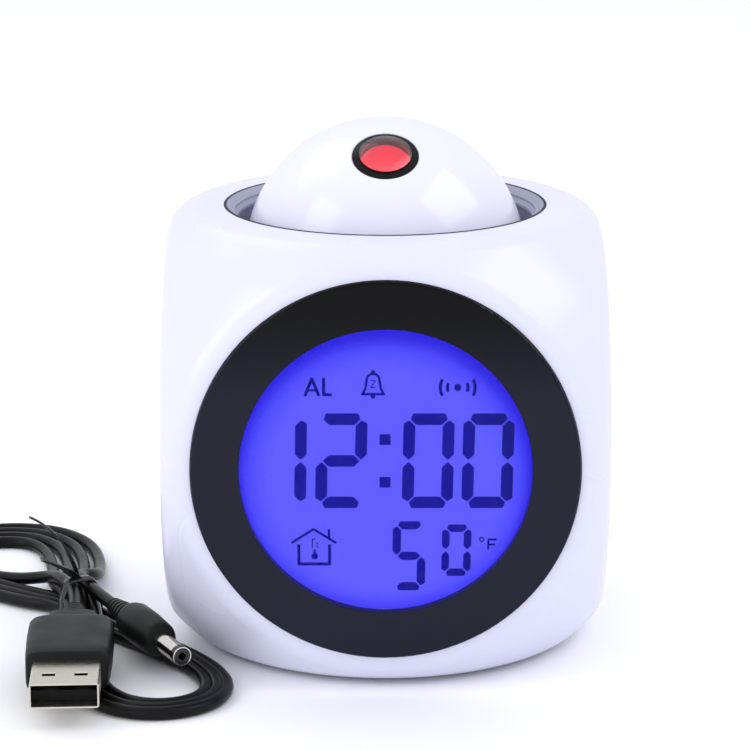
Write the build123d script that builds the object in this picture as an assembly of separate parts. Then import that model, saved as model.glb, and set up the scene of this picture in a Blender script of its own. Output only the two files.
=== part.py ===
from build123d import *
import math
import os

# Projection alarm clock: an 80 mm rounded cube with a round display, a tilting projector ball in its
# top, three AAA cells and controls at the back, and a loose USB lead. Millimetres, +Z up, front at -Y.
# The origin is on the standing surface, below the middle of the cube.

# --- casing ---
CASE_SIDE = 80.0          # flat to flat, all three ways
EDGE_CUT = 2.37           # how far a sphere cuts in at the middle of each of the cube's edges
FACE_EDGE_R = 5.6         # rounding between each flat disc and the sphere
WALL = 2.0
INNER_EDGE_R = 3.4
REAR_COVER_DEPTH = 9.0    # from the back face to the parting line
LAP_LENGTH = 2.0          # rear cover's lip inside the front case
LAP_WALL = 0.9
GLUE_GAP = 0.05           # between pieces that are fixed to each other
SLIP_GAP = 0.1            # around pieces that drop into a seat
FOOT_PROUD = 0.8
FOOT_RECESS = 0.6
FOOT_R = 3.4
FOOT_SPAN = 42.8          # between foot centres, both ways

# --- display ---
BEZEL_R = 34.3
BEZEL_WINDOW_R = 25.75
BEZEL_PROUD = 0.9
BEZEL_SEAT = 1.2
WINDOW_THICK = 1.5
WINDOW_LAP = 1.6          # how far the clear window reaches under the bezel
LCD_SIDE = 53.0
LCD_CORNER_CUT = 5.0
LCD_GLASS_THICK = 2.2
LCD_LEDGE = 3.0           # bare glass along the bottom edge for the contact strip
INK_THICK = 0.08
GUIDE_THICK = 2.6
HOLDER_WALL = 1.6
HOLDER_BACK = 1.2
HOLDER_EAR_X = 31.4
HOLDER_EAR_Z = 13.0
HOLDER_EAR_R = 2.9
DIGIT_H = 17.3
DIGIT_W = 9.0
DIGIT_STROKE = 2.1
DIGIT_LEAN = 1.1          # degrees, tops to the right
DIGIT_ROW = 1.2           # middle of the time above the display's middle
DIGIT_XS = [-18.4, -7.8, 7.5, 18.0]
COLON_X = -0.1
COLON_SIDE = 1.95
COLON_RISE = 3.9
SMALL_DIGIT_H = 12.8
SMALL_DIGIT_W = 5.9
SMALL_DIGIT_STROKE = 1.5
SMALL_DIGIT_ROW = -16.3
SMALL_DIGIT_X = 4.15
LAST_DIGIT_H = 9.5        # the smaller last figure of the temperature
LAST_DIGIT_W = 5.2
LAST_DIGIT_STROKE = 1.35
LAST_DIGIT_ROW = -15.25
LAST_DIGIT_X = 12.55
SEGMENT_GAP = 0.18
SEGMENT_CORNER = 0.8      # share of a stroke's width cut off the digit's outer corners
ICON_LINE = 0.44
BOLD_LINE = 0.56
FINE_LINE = 0.22
HOUSE_X = -12.65
HOUSE_ROW = -14.6
LETTERS_X = -11.8
LETTERS_ROW = 14.65
BELL_X = -2.2
BELL_ROW = 15.05
SOUND_X = 12.6
SOUND_ROW = 14.55
DEGREE_X = 17.05
DEGREE_ROW = -13.25

# --- boards ---
LED_CHIP_DEEP = 1.2
LED_CHIP_LEN = 3.0
LED_CHIP_THICK = 1.4
LED_CHIP_SPAN = 18.0
BOARD_THICK = 1.6
MAIN_BOARD_W = 52.0
MAIN_BOARD_H = 38.0
MAIN_BOARD_DROP = 5.0     # board's middle below the cube's middle
STANDOFF_LEN = 1.4
STANDOFF_R = 2.2
BOARD_SCREW_INSET = 3.2
CHIP_XS = [-10.0, 11.0]
CHIP_CAP_RS = [5.5, 4.5]
CHIP_CAP_H = 1.6
CRYSTAL_R = 1.0
CRYSTAL_LEN = 6.0
CRYSTAL_DROP = 10.0       # below the board's middle
STRIP_END_GAP = 1.5       # bare ledge beyond each end of the elastomer contact strip
STRIP_THICK = 1.8
STRIP_SIDE_GAP = 0.3
SCREW_SHANK_R = 1.0
SCREW_HEAD_R = 1.9
SCREW_HEAD_H = 1.2
SCREW_LEN = 4.5
SCREW_GAP = 0.05

# --- casing screws ---
CASE_SCREW_GAP = 0.8      # between the screws' bosses and the battery tray
CASE_SCREW_INSET = 19.6   # from the case's top and bottom to the screws
CASE_SCREW_R = 1.25
CASE_SCREW_HEAD_R = 2.5
CASE_SCREW_HEAD_H = 1.8
CASE_SCREW_LEN = 12.0
CASE_BOSS_R = 3.3
CASE_BOSS_LEN = 14.0
CASE_HEAD_SINK = 4.6      # from the back face to the head's seat
SCREW_WELL_WALL = 1.0

# --- well and projector ball ---
BALL_R = 26.0
BALL_DROP = 10.2          # ball centre below the case top
BALL_WALL = 1.8
WELL_GAP = 2.7            # between the ball and the edge of the opening in the case top
WELL_EDGE_R = 1.0
WELL_WALL = 0.9
WELL_DEPTH = 20.8         # well ring's bottom below the case top
WELL_FLANGE_REACH = 2.5   # beyond the opening
WELL_FLANGE_THICK = 1.6
CRADLE_GAP = 0.3          # between ball and cradle
CRADLE_WALL = 0.9
CRADLE_DROP = 4.0         # cradle's edge below the tilt axis
CRADLE_EAR_HALF = 5.0
CRADLE_EAR_RISE = 3.6
CRADLE_FLANGE_THICK = 1.9
PRESS_TRAVEL = 1.8
STOP_GAP = 0.05
GUIDE_REACH = 0.6         # guide posts' axes beyond the cradle's flange
GUIDE_ANGLE = 42.5        # degrees from +X to the first post
GUIDE_POST_R = 1.6
GUIDE_RUN_GAP = 0.08
GUIDE_TUBE_WALL = 0.9
GUIDE_TUBE_LEN = 14.0
GUIDE_LUG_R = 4.0
SPRING_WIRE = 0.6
SPRING_TURNS = 6
PLATE_THICK = 2.0
PLATE_W = 68.0
PLATE_D = 46.0
PLATE_PILLAR_X = 30.0
PLATE_PILLAR_Y = 9.0
PLATE_PILLAR_R = 3.0
TACT_SIDE = 6.0
TACT_BODY_H = 3.4
TACT_KEY_R = 1.7
TACT_KEY_H = 0.8
SNOOZE_BOARD_W = 22.0
SNOOZE_BOARD_D = 15.0
SNOOZE_BOARD_THICK = 1.2
TRUNNION_R = 2.0
TRUNNION_BORE_R = 1.2
TRUNNION_HEAD_R = 3.0
TRUNNION_HEAD_T = 0.9
TRUNNION_RUN_GAP = 0.05

# --- projector optics, measured along the lens axis from the ball centre ---
LENS_ELEVATION = 58.0     # lens axis above level, towards the front, in the stored pose
LENS_OPENING_R = 6.0
LENS_OPENING_ROUND = 0.25
LENS_BEZEL_SINK = 0.15    # bezel's rounded face below the ball's surface
LENS_BEZEL_LEN = 2.8
LENS_R = 4.75
LENS_EDGE = 1.5
LENS_SAG = 1.2
LENS_PROUD = 0.25         # lens's edge above the ball's surface
LENS_SEAT = 0.6           # ledge that the lens rests on
OPTIC_TUBE_WALL = 1.3
OPTIC_TUBE_BOTTOM = 4.0
CONDENSER_FROM = 9.0
CONDENSER_THICK = 2.4
SLIDE_LCD_FROM = 14.0
SLIDE_LCD_GAP = 0.1       # slide display's corners short of the lenses' edge
SLIDE_LCD_THICK = 1.3
PROJECTOR_BOARD_SIDE = 16.0
PROJECTOR_BOARD_FROM = 0.6
LED_R = 2.5
LED_H = 5.2
BALL_SCREW_OFFSET = 17.0
BALL_BOSS_R = 2.6
BALL_SCREW_LEN = 11.0
BALL_SCREW_SINK = 6.0     # head seat below the seam

# --- sound ---
SPEAKER_R = 14.5
SPEAKER_H = 5.6
SPEAKER_RIM = 1.6
SPEAKER_MAGNET_R = 6.5
SPEAKER_MAGNET_H = 2.6
SPEAKER_TOP = 1.0         # basket's end plate
SPEAKER_CONE_H = 1.6
SPEAKER_CONE_WALL = 0.4
SPEAKER_CONE_RISE = 0.6   # cone's lower rim above the basket's
SPEAKER_CAP_R = 4.4       # cone's narrow end
SPEAKER_RING_WALL = 1.2
SPEAKER_RING_H = 3.0
GRILLE_HOLE_R = 0.85
GRILLE_PITCH = 3.4
GRILLE_RINGS = 3

# --- power ---
CELL_R = 5.15
CELL_LEN = 43.6
CELL_NUB_R = 1.9
CELL_NUB_LEN = 0.9
CELL_PITCH = 10.8
CONTACT_ROOM = 2.1        # along the cells, for the contacts at both ends
TRAY_WALL = 1.2
TRAY_DROP = 24.5          # tray's middle below the button row
TRAY_DEPTH = 12.4
TRAY_SETBACK = 0.6        # between the tray's rim and the rear wall
CONTACT_THICK = 0.35
CONTACT_SIDE = 7.6
CONTACT_WIRE = 0.5
CONTACT_COIL_R = 2.6
CONTACT_TURNS = 1.25
DOOR_W = 48.0
DOOR_H = 32.6
DOOR_THICK = 1.2
DOOR_CORNER_R = 2.5
DOOR_GAP = 0.25
DOOR_LEDGE = 1.1
DOOR_TONGUE_W = 9.0
DOOR_TONGUE_LEN = 2.8
DOOR_TONGUE_THICK = 1.1
DOOR_TONGUE_GAP = 0.12
DOOR_GRIP_COUNT = 3       # finger grooves near the door's upper edge
DOOR_GRIP_W = 10.0
DOOR_GRIP_STEP = 2.0
DOOR_GRIP_INSET = 3.2
DOOR_GRIP_PITCH = 1.5
DOOR_GRIP_GROOVE = 0.7

# --- back controls ---
CONTROL_DROP = 23.0       # button row below the case top
BUTTON_PITCH = 14.0
BUTTON_COUNT = 4
BUTTON_R = 3.4
BUTTON_PROUD = 0.9
BUTTON_RUN_GAP = 0.1
BUTTON_FLANGE_R = 4.3
BUTTON_FLANGE_T = 1.2
BUTTON_TRAVEL = 0.8
KEY_BOARD_H = 9.0
KEY_POST_R = 1.9
SOCKET_DROP = 13.0        # jack and switch row below the case top
JACK_X = 8.5
JACK_SIDE = 8.0
JACK_NOSE_R = 3.0
JACK_BORE_R = 1.9
JACK_DEPTH = 10.2
JACK_PIN_R = 0.6
JACK_END_WALL = 1.0
SLIDER_X = -8.5
SLIDER_TRAVEL = 2.5
SLIDER_KNOB_W = 3.4
SLIDER_KNOB_H = 2.4
SLIDER_PROUD = 0.9
SLIDER_FLANGE_W = 6.4
SLIDER_FLANGE_H = 4.0
SLIDER_FLANGE_T = 0.8
SLIDER_RUN_GAP = 0.15
SLIDER_BODY_W = 10.4
SLIDER_BODY_H = 5.2
SLIDER_BODY_D = 4.6
VENT_W = 0.9
VENT_H = 6.0
VENT_PITCH = 2.0
VENT_COUNT = 3
THERMISTOR_R = 1.2
THERMISTOR_STAND = 1.8    # bead's middle off its board
THERMISTOR_LEG_R = 0.2
THERMISTOR_LEG_SPAN = 1.2
KNOB_RIB_PITCH = 0.9
KNOB_GROOVE = 0.3
KNOB_GROOVE_COUNT = 3
JACK_PIN_SINK = 1.5       # pin's tip below the back face

# --- loose USB lead, wound in a figure of eight and lying beside the case ---
CORD_D = 2.4
TIE_X = -58.0             # where the tie holds the hank
TIE_Y = 0.0
HANK_HEADING = -67.0      # near loop's direction, degrees from +X
HANK_BEND = -5.0          # how much the far loop turns away from the near one's line
NEAR_LOOP_LEN = 60.0
NEAR_LOOP_R = 15.0
FAR_LOOP_LEN = 60.0
FAR_LOOP_R = 19.0
BAND_STRANDS = 3          # strands side by side in each loop
WAIST_HALF = 11.0
WAIST_R = 4.4
TIE_WIDTH = 3.2
TIE_THICK = 0.4
TIE_END_LONG = 17.0
TIE_END_SHORT = 9.0
TIE_END_W = 1.0
TIE_LEAN_LONG = 25.0      # degrees off upright
TIE_LEAN_SHORT = 40.0
TAIL_LIFT = 6.6           # height of the tails' and plugs' axes; they lie across the near loop
TAIL_TURN = 3.0           # from the tie to where the tails turn towards their plugs
TAIL_RUN = 11.0           # straight run on each side of that turn
TAIL_SPREAD = 1.5         # tails' axes beside the hank's middle line
USB_HEADING = -87.0
USB_BODY_LEN = 22.0
USB_BODY_W = 15.4
USB_BODY_T = 7.8
USB_BODY_EDGE_R = 1.6
USB_NECK_LEN = 4.0
USB_NECK_W = 9.0
USB_NECK_T = 6.2
USB_NECK_EDGE_R = 1.4
USB_RELIEF_LEN = 8.0
USB_RELIEF_R = 2.9
USB_SHELL_LEN = 12.0
USB_SHELL_W = 12.0
USB_SHELL_T = 4.5
USB_SHELL_WALL = 0.3
USB_TONGUE_LEN = 9.0
USB_TONGUE_T = 1.9
USB_HOLE_W = 2.3
USB_HOLE_LEN = 2.0
USB_HOLE_SPAN = 5.6
USB_HOLE_INSET = 4.0      # from the shell's mouth to the holes
DC_HEADING = -63.0
DC_RELIEF_LEN = 8.0
DC_RELIEF_R = 2.6
DC_BODY_LEN = 14.0
DC_BODY_R = 3.6
DC_BODY_EDGE_R = 0.9
DC_BARREL_R = 1.75
DC_BARREL_BORE_R = 0.75
DC_BARREL_LEN = 9.5
PLUG_ROOT = 3.0           # how far a metal part reaches into its plug body
RELIEF_LIP = 0.35         # strain relief's end wall round the cord

# --- sizes and places worked out from those above ---
HALF = CASE_SIDE / 2
MID_Z = FOOT_PROUD + HALF
TOP_Z = MID_Z + HALF
FRONT_IN = -HALF + WALL
BACK_IN = HALF - WALL
PARTING_Y = HALF - REAR_COVER_DEPTH
CORNER_SPHERE_R = math.sqrt(2) * HALF - EDGE_CUT
BALL_Z = TOP_Z - BALL_DROP

BEZEL_FRONT = -HALF - BEZEL_PROUD
BEZEL_BACK = -HALF + BEZEL_SEAT
WINDOW_R = BEZEL_WINDOW_R + WINDOW_LAP
WINDOW_BACK = BEZEL_BACK + WINDOW_THICK
INK_FRONT = WINDOW_BACK + SLIP_GAP
LCD_FRONT = INK_FRONT + INK_THICK
LCD_BACK = LCD_FRONT + LCD_GLASS_THICK
GUIDE_FRONT = LCD_BACK + SLIP_GAP
GUIDE_BACK = GUIDE_FRONT + GUIDE_THICK
HOLDER_BACK_IN = GUIDE_BACK + SLIP_GAP
HOLDER_BACK_OUT = HOLDER_BACK_IN + HOLDER_BACK
BOARD_FRONT = HOLDER_BACK_OUT + STANDOFF_LEN
BOARD_BACK = BOARD_FRONT + BOARD_THICK
BOARD_Z = MID_Z - MAIN_BOARD_DROP
STRIP_LEN = LCD_SIDE - 2 * LCD_CORNER_CUT - 2 * STRIP_END_GAP

WELL_BOTTOM = TOP_Z - WELL_DEPTH
CRADLE_IN_R = BALL_R + CRADLE_GAP
CRADLE_OUT_R = CRADLE_IN_R + CRADLE_WALL
GUIDE_X = (CRADLE_OUT_R + GUIDE_REACH) * math.cos(math.radians(GUIDE_ANGLE))
GUIDE_Y = (CRADLE_OUT_R + GUIDE_REACH) * math.sin(math.radians(GUIDE_ANGLE))
WELL_R = BALL_R + WELL_GAP
WELL_FLANGE_R = WELL_R + WELL_FLANGE_REACH
LENS_EDGE_TOP = math.sqrt(BALL_R ** 2 - LENS_R ** 2) + LENS_PROUD
LENS_EDGE_BOTTOM = LENS_EDGE_TOP - LENS_EDGE
SLIDE_LCD_SIDE = math.sqrt(2) * (LENS_R - SLIDE_LCD_GAP)
LENS_BEZEL_BOTTOM = math.sqrt(BALL_R ** 2 - LENS_OPENING_R ** 2) - LENS_BEZEL_LEN
WELL_OUT_R = WELL_R - GLUE_GAP
WELL_IN_R = WELL_OUT_R - WELL_WALL
FLANGE_TOP = WELL_BOTTOM - STOP_GAP
FLANGE_BOTTOM = FLANGE_TOP - CRADLE_FLANGE_THICK
CRADLE_POLE = BALL_Z - CRADLE_OUT_R
KEY_TOP = CRADLE_POLE - PRESS_TRAVEL - STOP_GAP
SNOOZE_BOARD_TOP = KEY_TOP - TACT_KEY_H - TACT_BODY_H
PLATE_TOP = SNOOZE_BOARD_TOP - SNOOZE_BOARD_THICK
PLATE_BOTTOM = PLATE_TOP - PLATE_THICK
GUIDE_TUBE_BORE = GUIDE_POST_R + GUIDE_RUN_GAP
GUIDE_TUBE_R = GUIDE_TUBE_BORE + GUIDE_TUBE_WALL
SPRING_R = GUIDE_TUBE_R + SLIP_GAP + SPRING_WIRE / 2

CONTROL_Z = TOP_Z - CONTROL_DROP
SOCKET_Z = TOP_Z - SOCKET_DROP
TRAY_Z = CONTROL_Z - TRAY_DROP
TRAY_RIM = BACK_IN - TRAY_SETBACK
TRAY_FLOOR = TRAY_RIM - TRAY_DEPTH
TRAY_IN_H = 2 * CELL_PITCH + 2 * CELL_R + 2 * SLIP_GAP
CELL_Y = TRAY_FLOOR + TRAY_WALL + CELL_R + SLIP_GAP
CELL_SPACE = CELL_LEN + CELL_NUB_LEN + CONTACT_ROOM
CASE_SCREW_X = CELL_SPACE / 2 + TRAY_WALL + CASE_SCREW_GAP + CASE_BOSS_R
CASE_SCREW_Z = HALF - CASE_SCREW_INSET
KEY_BOARD_W = BUTTON_PITCH * (BUTTON_COUNT - 1) + TACT_SIDE
BUTTON_FLANGE_BACK = BACK_IN - STOP_GAP
BUTTON_INNER = BUTTON_FLANGE_BACK - BUTTON_FLANGE_T
KEY_TIP = BUTTON_INNER - BUTTON_TRAVEL - STOP_GAP
KEY_BOARD_BACK = KEY_TIP - TACT_KEY_H - TACT_BODY_H
KEY_BOARD_FRONT = KEY_BOARD_BACK - BOARD_THICK
BUTTON_XS = [BUTTON_PITCH * (i - (BUTTON_COUNT - 1) / 2) for i in range(BUTTON_COUNT)]
BUTTON_NAMES = ["button_mode", "button_alarm", "button_up", "button_down"]


def corners(x, z):
    """The four places at plus and minus x and z."""
    return [(sx * x, sz * z) for sx in (-1, 1) for sz in (-1, 1)]


def tube_y(outer_r, inner_r, y_from, y_to, x=0.0, z=MID_Z):
    """A disc, or a tube when inner_r is above 0, along Y between two planes."""
    body = rod_y(outer_r, y_from, y_to, x, z)
    if inner_r > 0:
        body -= rod_y(inner_r, y_from - 1, y_to + 1, x, z)
    return body


def rod_y(radius, y_from, y_to, x=0.0, z=MID_Z):
    """A round rod along Y between two planes."""
    middle = Pos(x, (y_from + y_to) / 2, z) * Rot(90, 0, 0)
    return middle * Cylinder(radius, y_to - y_from)


def rod_z(radius, z_from, z_to, x=0.0, y=0.0):
    """A round rod along Z between two heights."""
    return Pos(x, y, (z_from + z_to) / 2) * Cylinder(radius, z_to - z_from)


def block(x_from, x_to, y_from, y_to, z_from, z_to):
    """A box between two corners."""
    middle = Pos((x_from + x_to) / 2, (y_from + y_to) / 2, (z_from + z_to) / 2)
    return middle * Box(x_to - x_from, y_to - y_from, z_to - z_from)


def plate_xz(width, height, y_from, y_to, x=0.0, z=MID_Z, corner=0.0):
    """A plate square to Y, with rounded corners when corner is above 0."""
    body = block(x - width / 2, x + width / 2, y_from, y_to, z - height / 2, z + height / 2)
    if corner > 0:
        body = fillet(body.edges().filter_by(Axis.Y), corner)
    return body


def cut_square(side, y_from, y_to, z_low_trim=0.0):
    """A square plate with its corners cut off, and a strip trimmed off its lower edge."""
    body = plate_xz(side, side, y_from, y_to)
    body = chamfer(body.edges().filter_by(Axis.Y), LCD_CORNER_CUT)
    if z_low_trim > 0:
        low = MID_Z - side / 2
        body -= block(-side, side, y_from - 1, y_to + 1, low - 1, low + z_low_trim)
    return body


def in_rows(count, pitch):
    """Even places about zero."""
    return [pitch * (i - (count - 1) / 2) for i in range(count)]


def rounded_cube(side, sphere_r, edge_r):
    """A cube whose edges and corners a sphere cuts, with a rounding around each flat disc."""
    body = Box(side, side, side) & Sphere(sphere_r)
    meet_r = (math.sqrt(2) * side / 2 - sphere_r) / (math.sqrt(2) - 1)
    return Pos(0, 0, MID_Z) * fillet(body.edges(), min(edge_r, 0.97 * meet_r))


def case_outer():
    """The casing's outer form, solid."""
    return rounded_cube(CASE_SIDE, CORNER_SPHERE_R, FACE_EDGE_R)


def case_inner(offset=0.0):
    """The casing's inner form, solid, shrunk further by offset."""
    side = CASE_SIDE - 2 * (WALL + offset)
    return rounded_cube(side, CORNER_SPHERE_R - WALL - offset, INNER_EDGE_R)


def behind(y):
    """Everything behind a plane square to Y."""
    return block(-CASE_SIDE, CASE_SIDE, y, y + 2 * CASE_SIDE, MID_Z - CASE_SIDE, MID_Z + CASE_SIDE)


def screw(shank_r, head_r, head_h, length):
    """A pan head screw along -Z: the head's seat is at the origin and the head above it."""
    head = Pos(0, 0, head_h / 2) * Cylinder(head_r, head_h)
    head = fillet(head.faces().sort_by(Axis.Z)[-1].edges(), head_h * 0.45)
    slot_w = head_r * 0.28
    for turn in (0, 90):
        head -= Pos(0, 0, head_h) * Rot(0, 0, turn) * Box(head_r * 1.2, slot_w, head_h * 0.9)
    shank = Pos(0, 0, -length / 2) * Cylinder(shank_r, length)
    return head + shank


def small_screw(length=SCREW_LEN):
    """The self-tapping screw that holds boards and frames."""
    return screw(SCREW_SHANK_R, SCREW_HEAD_R, SCREW_HEAD_H, length)


# --- casing ---

def front_case():
    """Front shell: display opening, well opening, speaker grille, bosses and pillars."""
    shell = case_outer() - case_inner()
    for x, z in corners(CASE_SCREW_X, CASE_SCREW_Z):
        shell += case_boss(x, MID_Z + z)
    for x, z in corners(HOLDER_EAR_X, HOLDER_EAR_Z):
        shell += rod_y(HOLDER_EAR_R, FRONT_IN - WALL / 2, HOLDER_BACK_IN, x, MID_Z + z)
    for x, y in corners(PLATE_PILLAR_X, PLATE_PILLAR_Y):
        shell += rod_z(PLATE_PILLAR_R, FOOT_PROUD + WALL / 2, PLATE_BOTTOM, x, y)
    shell += speaker_ring()
    shell -= behind(PARTING_Y)
    shell -= rod_y(BEZEL_R + SLIP_GAP, -CASE_SIDE, BEZEL_BACK)
    shell -= rod_y(WINDOW_R + SLIP_GAP, -CASE_SIDE, FRONT_IN + WALL)
    shell = shell - rod_z(WELL_R, TOP_Z - 2 * WALL, TOP_Z + 1)
    shell = round_well_edge(shell)
    for x, z in corners(CASE_SCREW_X, CASE_SCREW_Z):
        shell -= rod_y(CASE_SCREW_R + SCREW_GAP, PARTING_Y - CASE_BOSS_LEN + 2, HALF, x, MID_Z + z)
    for x, z in corners(HOLDER_EAR_X, HOLDER_EAR_Z):
        hole_front = HOLDER_BACK_OUT - SCREW_LEN - SCREW_GAP
        shell -= rod_y(SCREW_SHANK_R + SCREW_GAP, hole_front, 0, x, MID_Z + z)
    for x, y in corners(PLATE_PILLAR_X, PLATE_PILLAR_Y):
        hole_foot = PLATE_TOP - SCREW_LEN - SCREW_GAP
        shell -= rod_z(SCREW_SHANK_R + SCREW_GAP, hole_foot, PLATE_TOP, x, y)
    for x, y in corners(FOOT_SPAN / 2, FOOT_SPAN / 2):
        shell -= rod_z(FOOT_R + SLIP_GAP, 0, FOOT_PROUD + FOOT_RECESS, x, y)
    for x, y in grille_points():
        shell -= rod_z(GRILLE_HOLE_R, 0, FOOT_PROUD + 2 * WALL, x, y)
    return shell


def case_boss(x, z):
    """A boss for a casing screw, with a rib to the side wall."""
    side = math.copysign(1, x)
    y_from = PARTING_Y - CASE_BOSS_LEN
    rib = block(min(x, side * (HALF - WALL / 2)), max(x, side * (HALF - WALL / 2)),
                y_from, PARTING_Y, z - WALL / 2, z + WALL / 2)
    return rod_y(CASE_BOSS_R, y_from, PARTING_Y, x, z) + rib


def round_well_edge(shell):
    """Round the outer edge of the opening in the top."""
    top_edges = shell.edges().filter_by(GeomType.CIRCLE)
    rim = [e for e in top_edges if abs(e.radius - WELL_R) < 0.01 and abs(e.center().Z - TOP_Z) < 0.01]
    return fillet(rim, WELL_EDGE_R)


def speaker_ring():
    """The upright ring on the case floor that the speaker drops into."""
    floor = FOOT_PROUD + WALL
    ring = rod_z(SPEAKER_R + SLIP_GAP + SPEAKER_RING_WALL, floor - WALL / 2, floor + SPEAKER_RING_H)
    return ring - rod_z(SPEAKER_R + SLIP_GAP, floor, floor + 2 * SPEAKER_RING_H)


def grille_points():
    """Speaker holes: one in the middle and rings of six, twelve and so on."""
    points = [(0.0, 0.0)]
    for ring in range(1, GRILLE_RINGS + 1):
        count = 6 * ring
        for i in range(count):
            angle = 2 * math.pi * i / count
            points.append((ring * GRILLE_PITCH * math.cos(angle), ring * GRILLE_PITCH * math.sin(angle)))
    return points


def rear_cover():
    """Rear shell with its lap lip, screw wells, door opening, control openings and vents."""
    shell = (case_outer() - case_inner()) & behind(PARTING_Y)
    lip = case_inner(GLUE_GAP) & behind(PARTING_Y - LAP_LENGTH)
    lip += case_inner(-WALL / 2) & behind(PARTING_Y)
    lip -= behind(PARTING_Y + LAP_LENGTH)
    lip -= case_inner(GLUE_GAP + LAP_WALL)
    lip -= rod_z(WELL_FLANGE_R + SLIP_GAP, WELL_BOTTOM, TOP_Z)
    for x, z in corners(CASE_SCREW_X, CASE_SCREW_Z):
        lip -= rod_y(CASE_BOSS_R + SLIP_GAP, 0, PARTING_Y, x, MID_Z + z)
        side = math.copysign(HALF, x)
        rib_half = WALL / 2 + SLIP_GAP
        lip -= block(min(x, side), max(x, side), 0, PARTING_Y, MID_Z + z - rib_half, MID_Z + z + rib_half)
    shell += lip
    hull = case_outer()
    seat = HALF - CASE_HEAD_SINK
    for x, z in corners(CASE_SCREW_X, CASE_SCREW_Z):
        well_r = CASE_SCREW_HEAD_R + SLIP_GAP + SCREW_WELL_WALL
        well = rod_y(well_r, PARTING_Y + SLIP_GAP, HALF, x, MID_Z + z)
        shell += well & hull
    for x in (-BUTTON_PITCH, BUTTON_PITCH):
        shell += rod_y(KEY_POST_R, KEY_BOARD_BACK, BACK_IN + WALL / 2, x, CONTROL_Z)
    for x, z in corners(CASE_SCREW_X, CASE_SCREW_Z):
        shell -= rod_y(CASE_SCREW_R + SLIP_GAP, 0, CASE_SIDE, x, MID_Z + z)
        shell -= rod_y(CASE_SCREW_HEAD_R + SLIP_GAP, seat, CASE_SIDE, x, MID_Z + z)
    shell -= plate_xz(DOOR_W + 2 * DOOR_GAP, DOOR_H + 2 * DOOR_GAP, HALF - DOOR_THICK - SLIP_GAP, CASE_SIDE,
                      0, TRAY_Z, DOOR_CORNER_R + DOOR_GAP)
    shell -= plate_xz(DOOR_W - 2 * DOOR_LEDGE, DOOR_H - 2 * DOOR_LEDGE, PARTING_Y, CASE_SIDE, 0, TRAY_Z,
                      DOOR_CORNER_R - DOOR_LEDGE)
    for x in BUTTON_XS:
        shell -= rod_y(BUTTON_R + BUTTON_RUN_GAP, PARTING_Y, CASE_SIDE, x, CONTROL_Z)
    for x in (-BUTTON_PITCH, BUTTON_PITCH):
        hole_end = KEY_BOARD_FRONT + SCREW_LEN + SCREW_GAP
        shell -= rod_y(SCREW_SHANK_R + SCREW_GAP, 0, hole_end, x, CONTROL_Z)
    shell -= rod_y(JACK_NOSE_R + SLIP_GAP, PARTING_Y, CASE_SIDE, JACK_X, SOCKET_Z)
    shell -= slider_slot()
    for x in in_rows(VENT_COUNT, VENT_PITCH):
        shell -= plate_xz(VENT_W, VENT_H, PARTING_Y, CASE_SIDE, x, CONTROL_Z, VENT_W * 0.45)
    return shell


def slider_slot():
    """The slot in the rear wall that the switch knob travels along."""
    width = SLIDER_KNOB_W + SLIDER_TRAVEL + 2 * SLIDER_RUN_GAP
    height = SLIDER_KNOB_H + 2 * SLIDER_RUN_GAP
    x = SLIDER_X + SLIDER_TRAVEL / 2
    return plate_xz(width, height, PARTING_Y, CASE_SIDE, x, SOCKET_Z)


def rubber_feet():
    """Four round pads pressed into recesses under the case."""
    feet = []
    for x, y in corners(FOOT_SPAN / 2, FOOT_SPAN / 2):
        foot = rod_z(FOOT_R, 0, FOOT_PROUD + FOOT_RECESS - GLUE_GAP, x, y)
        feet.append(fillet(foot.faces().sort_by(Axis.Z)[0].edges(), FOOT_PROUD * 0.5))
    return feet


def case_screws():
    """Four screws that hold the rear cover."""
    seat = HALF - CASE_HEAD_SINK
    turned = Rot(-90, 0, 0) * screw(CASE_SCREW_R, CASE_SCREW_HEAD_R, CASE_SCREW_HEAD_H, CASE_SCREW_LEN)
    return [Pos(x, seat, MID_Z + z) * turned for x, z in corners(CASE_SCREW_X, CASE_SCREW_Z)]


# --- display ---

def bezel_ring():
    """Gloss ring around the display, seated in the front face."""
    ring = tube_y(BEZEL_R, BEZEL_WINDOW_R, BEZEL_FRONT, BEZEL_BACK - GLUE_GAP)
    front_edges = ring.faces().sort_by(Axis.Y)[0].edges().sort_by(SortBy.LENGTH)
    ring = fillet(front_edges[-1], 0.6 * BEZEL_PROUD)
    inner_edge = ring.faces().sort_by(Axis.Y)[0].edges().sort_by(SortBy.LENGTH)[0]
    return fillet(inner_edge, 0.2 * BEZEL_PROUD)


def display_window():
    """Clear disc behind the bezel."""
    return rod_y(WINDOW_R, BEZEL_BACK, WINDOW_BACK)


def lcd_glass():
    """Liquid crystal cell: a front glass and a rear glass with a bare contact ledge, bonded."""
    half_t = LCD_GLASS_THICK / 2
    rear = cut_square(LCD_SIDE, LCD_FRONT + half_t, LCD_BACK)
    return rear + cut_square(LCD_SIDE, LCD_FRONT, LCD_FRONT + half_t, LCD_LEDGE)


def light_guide():
    """Diffuser plate behind the glass that the two side LEDs light, notched for the contact strip."""
    guide = cut_square(LCD_SIDE, GUIDE_FRONT, GUIDE_BACK)
    return guide - contact_slot(STRIP_SIDE_GAP, GUIDE_FRONT - 1, GUIDE_BACK + 1)


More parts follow.
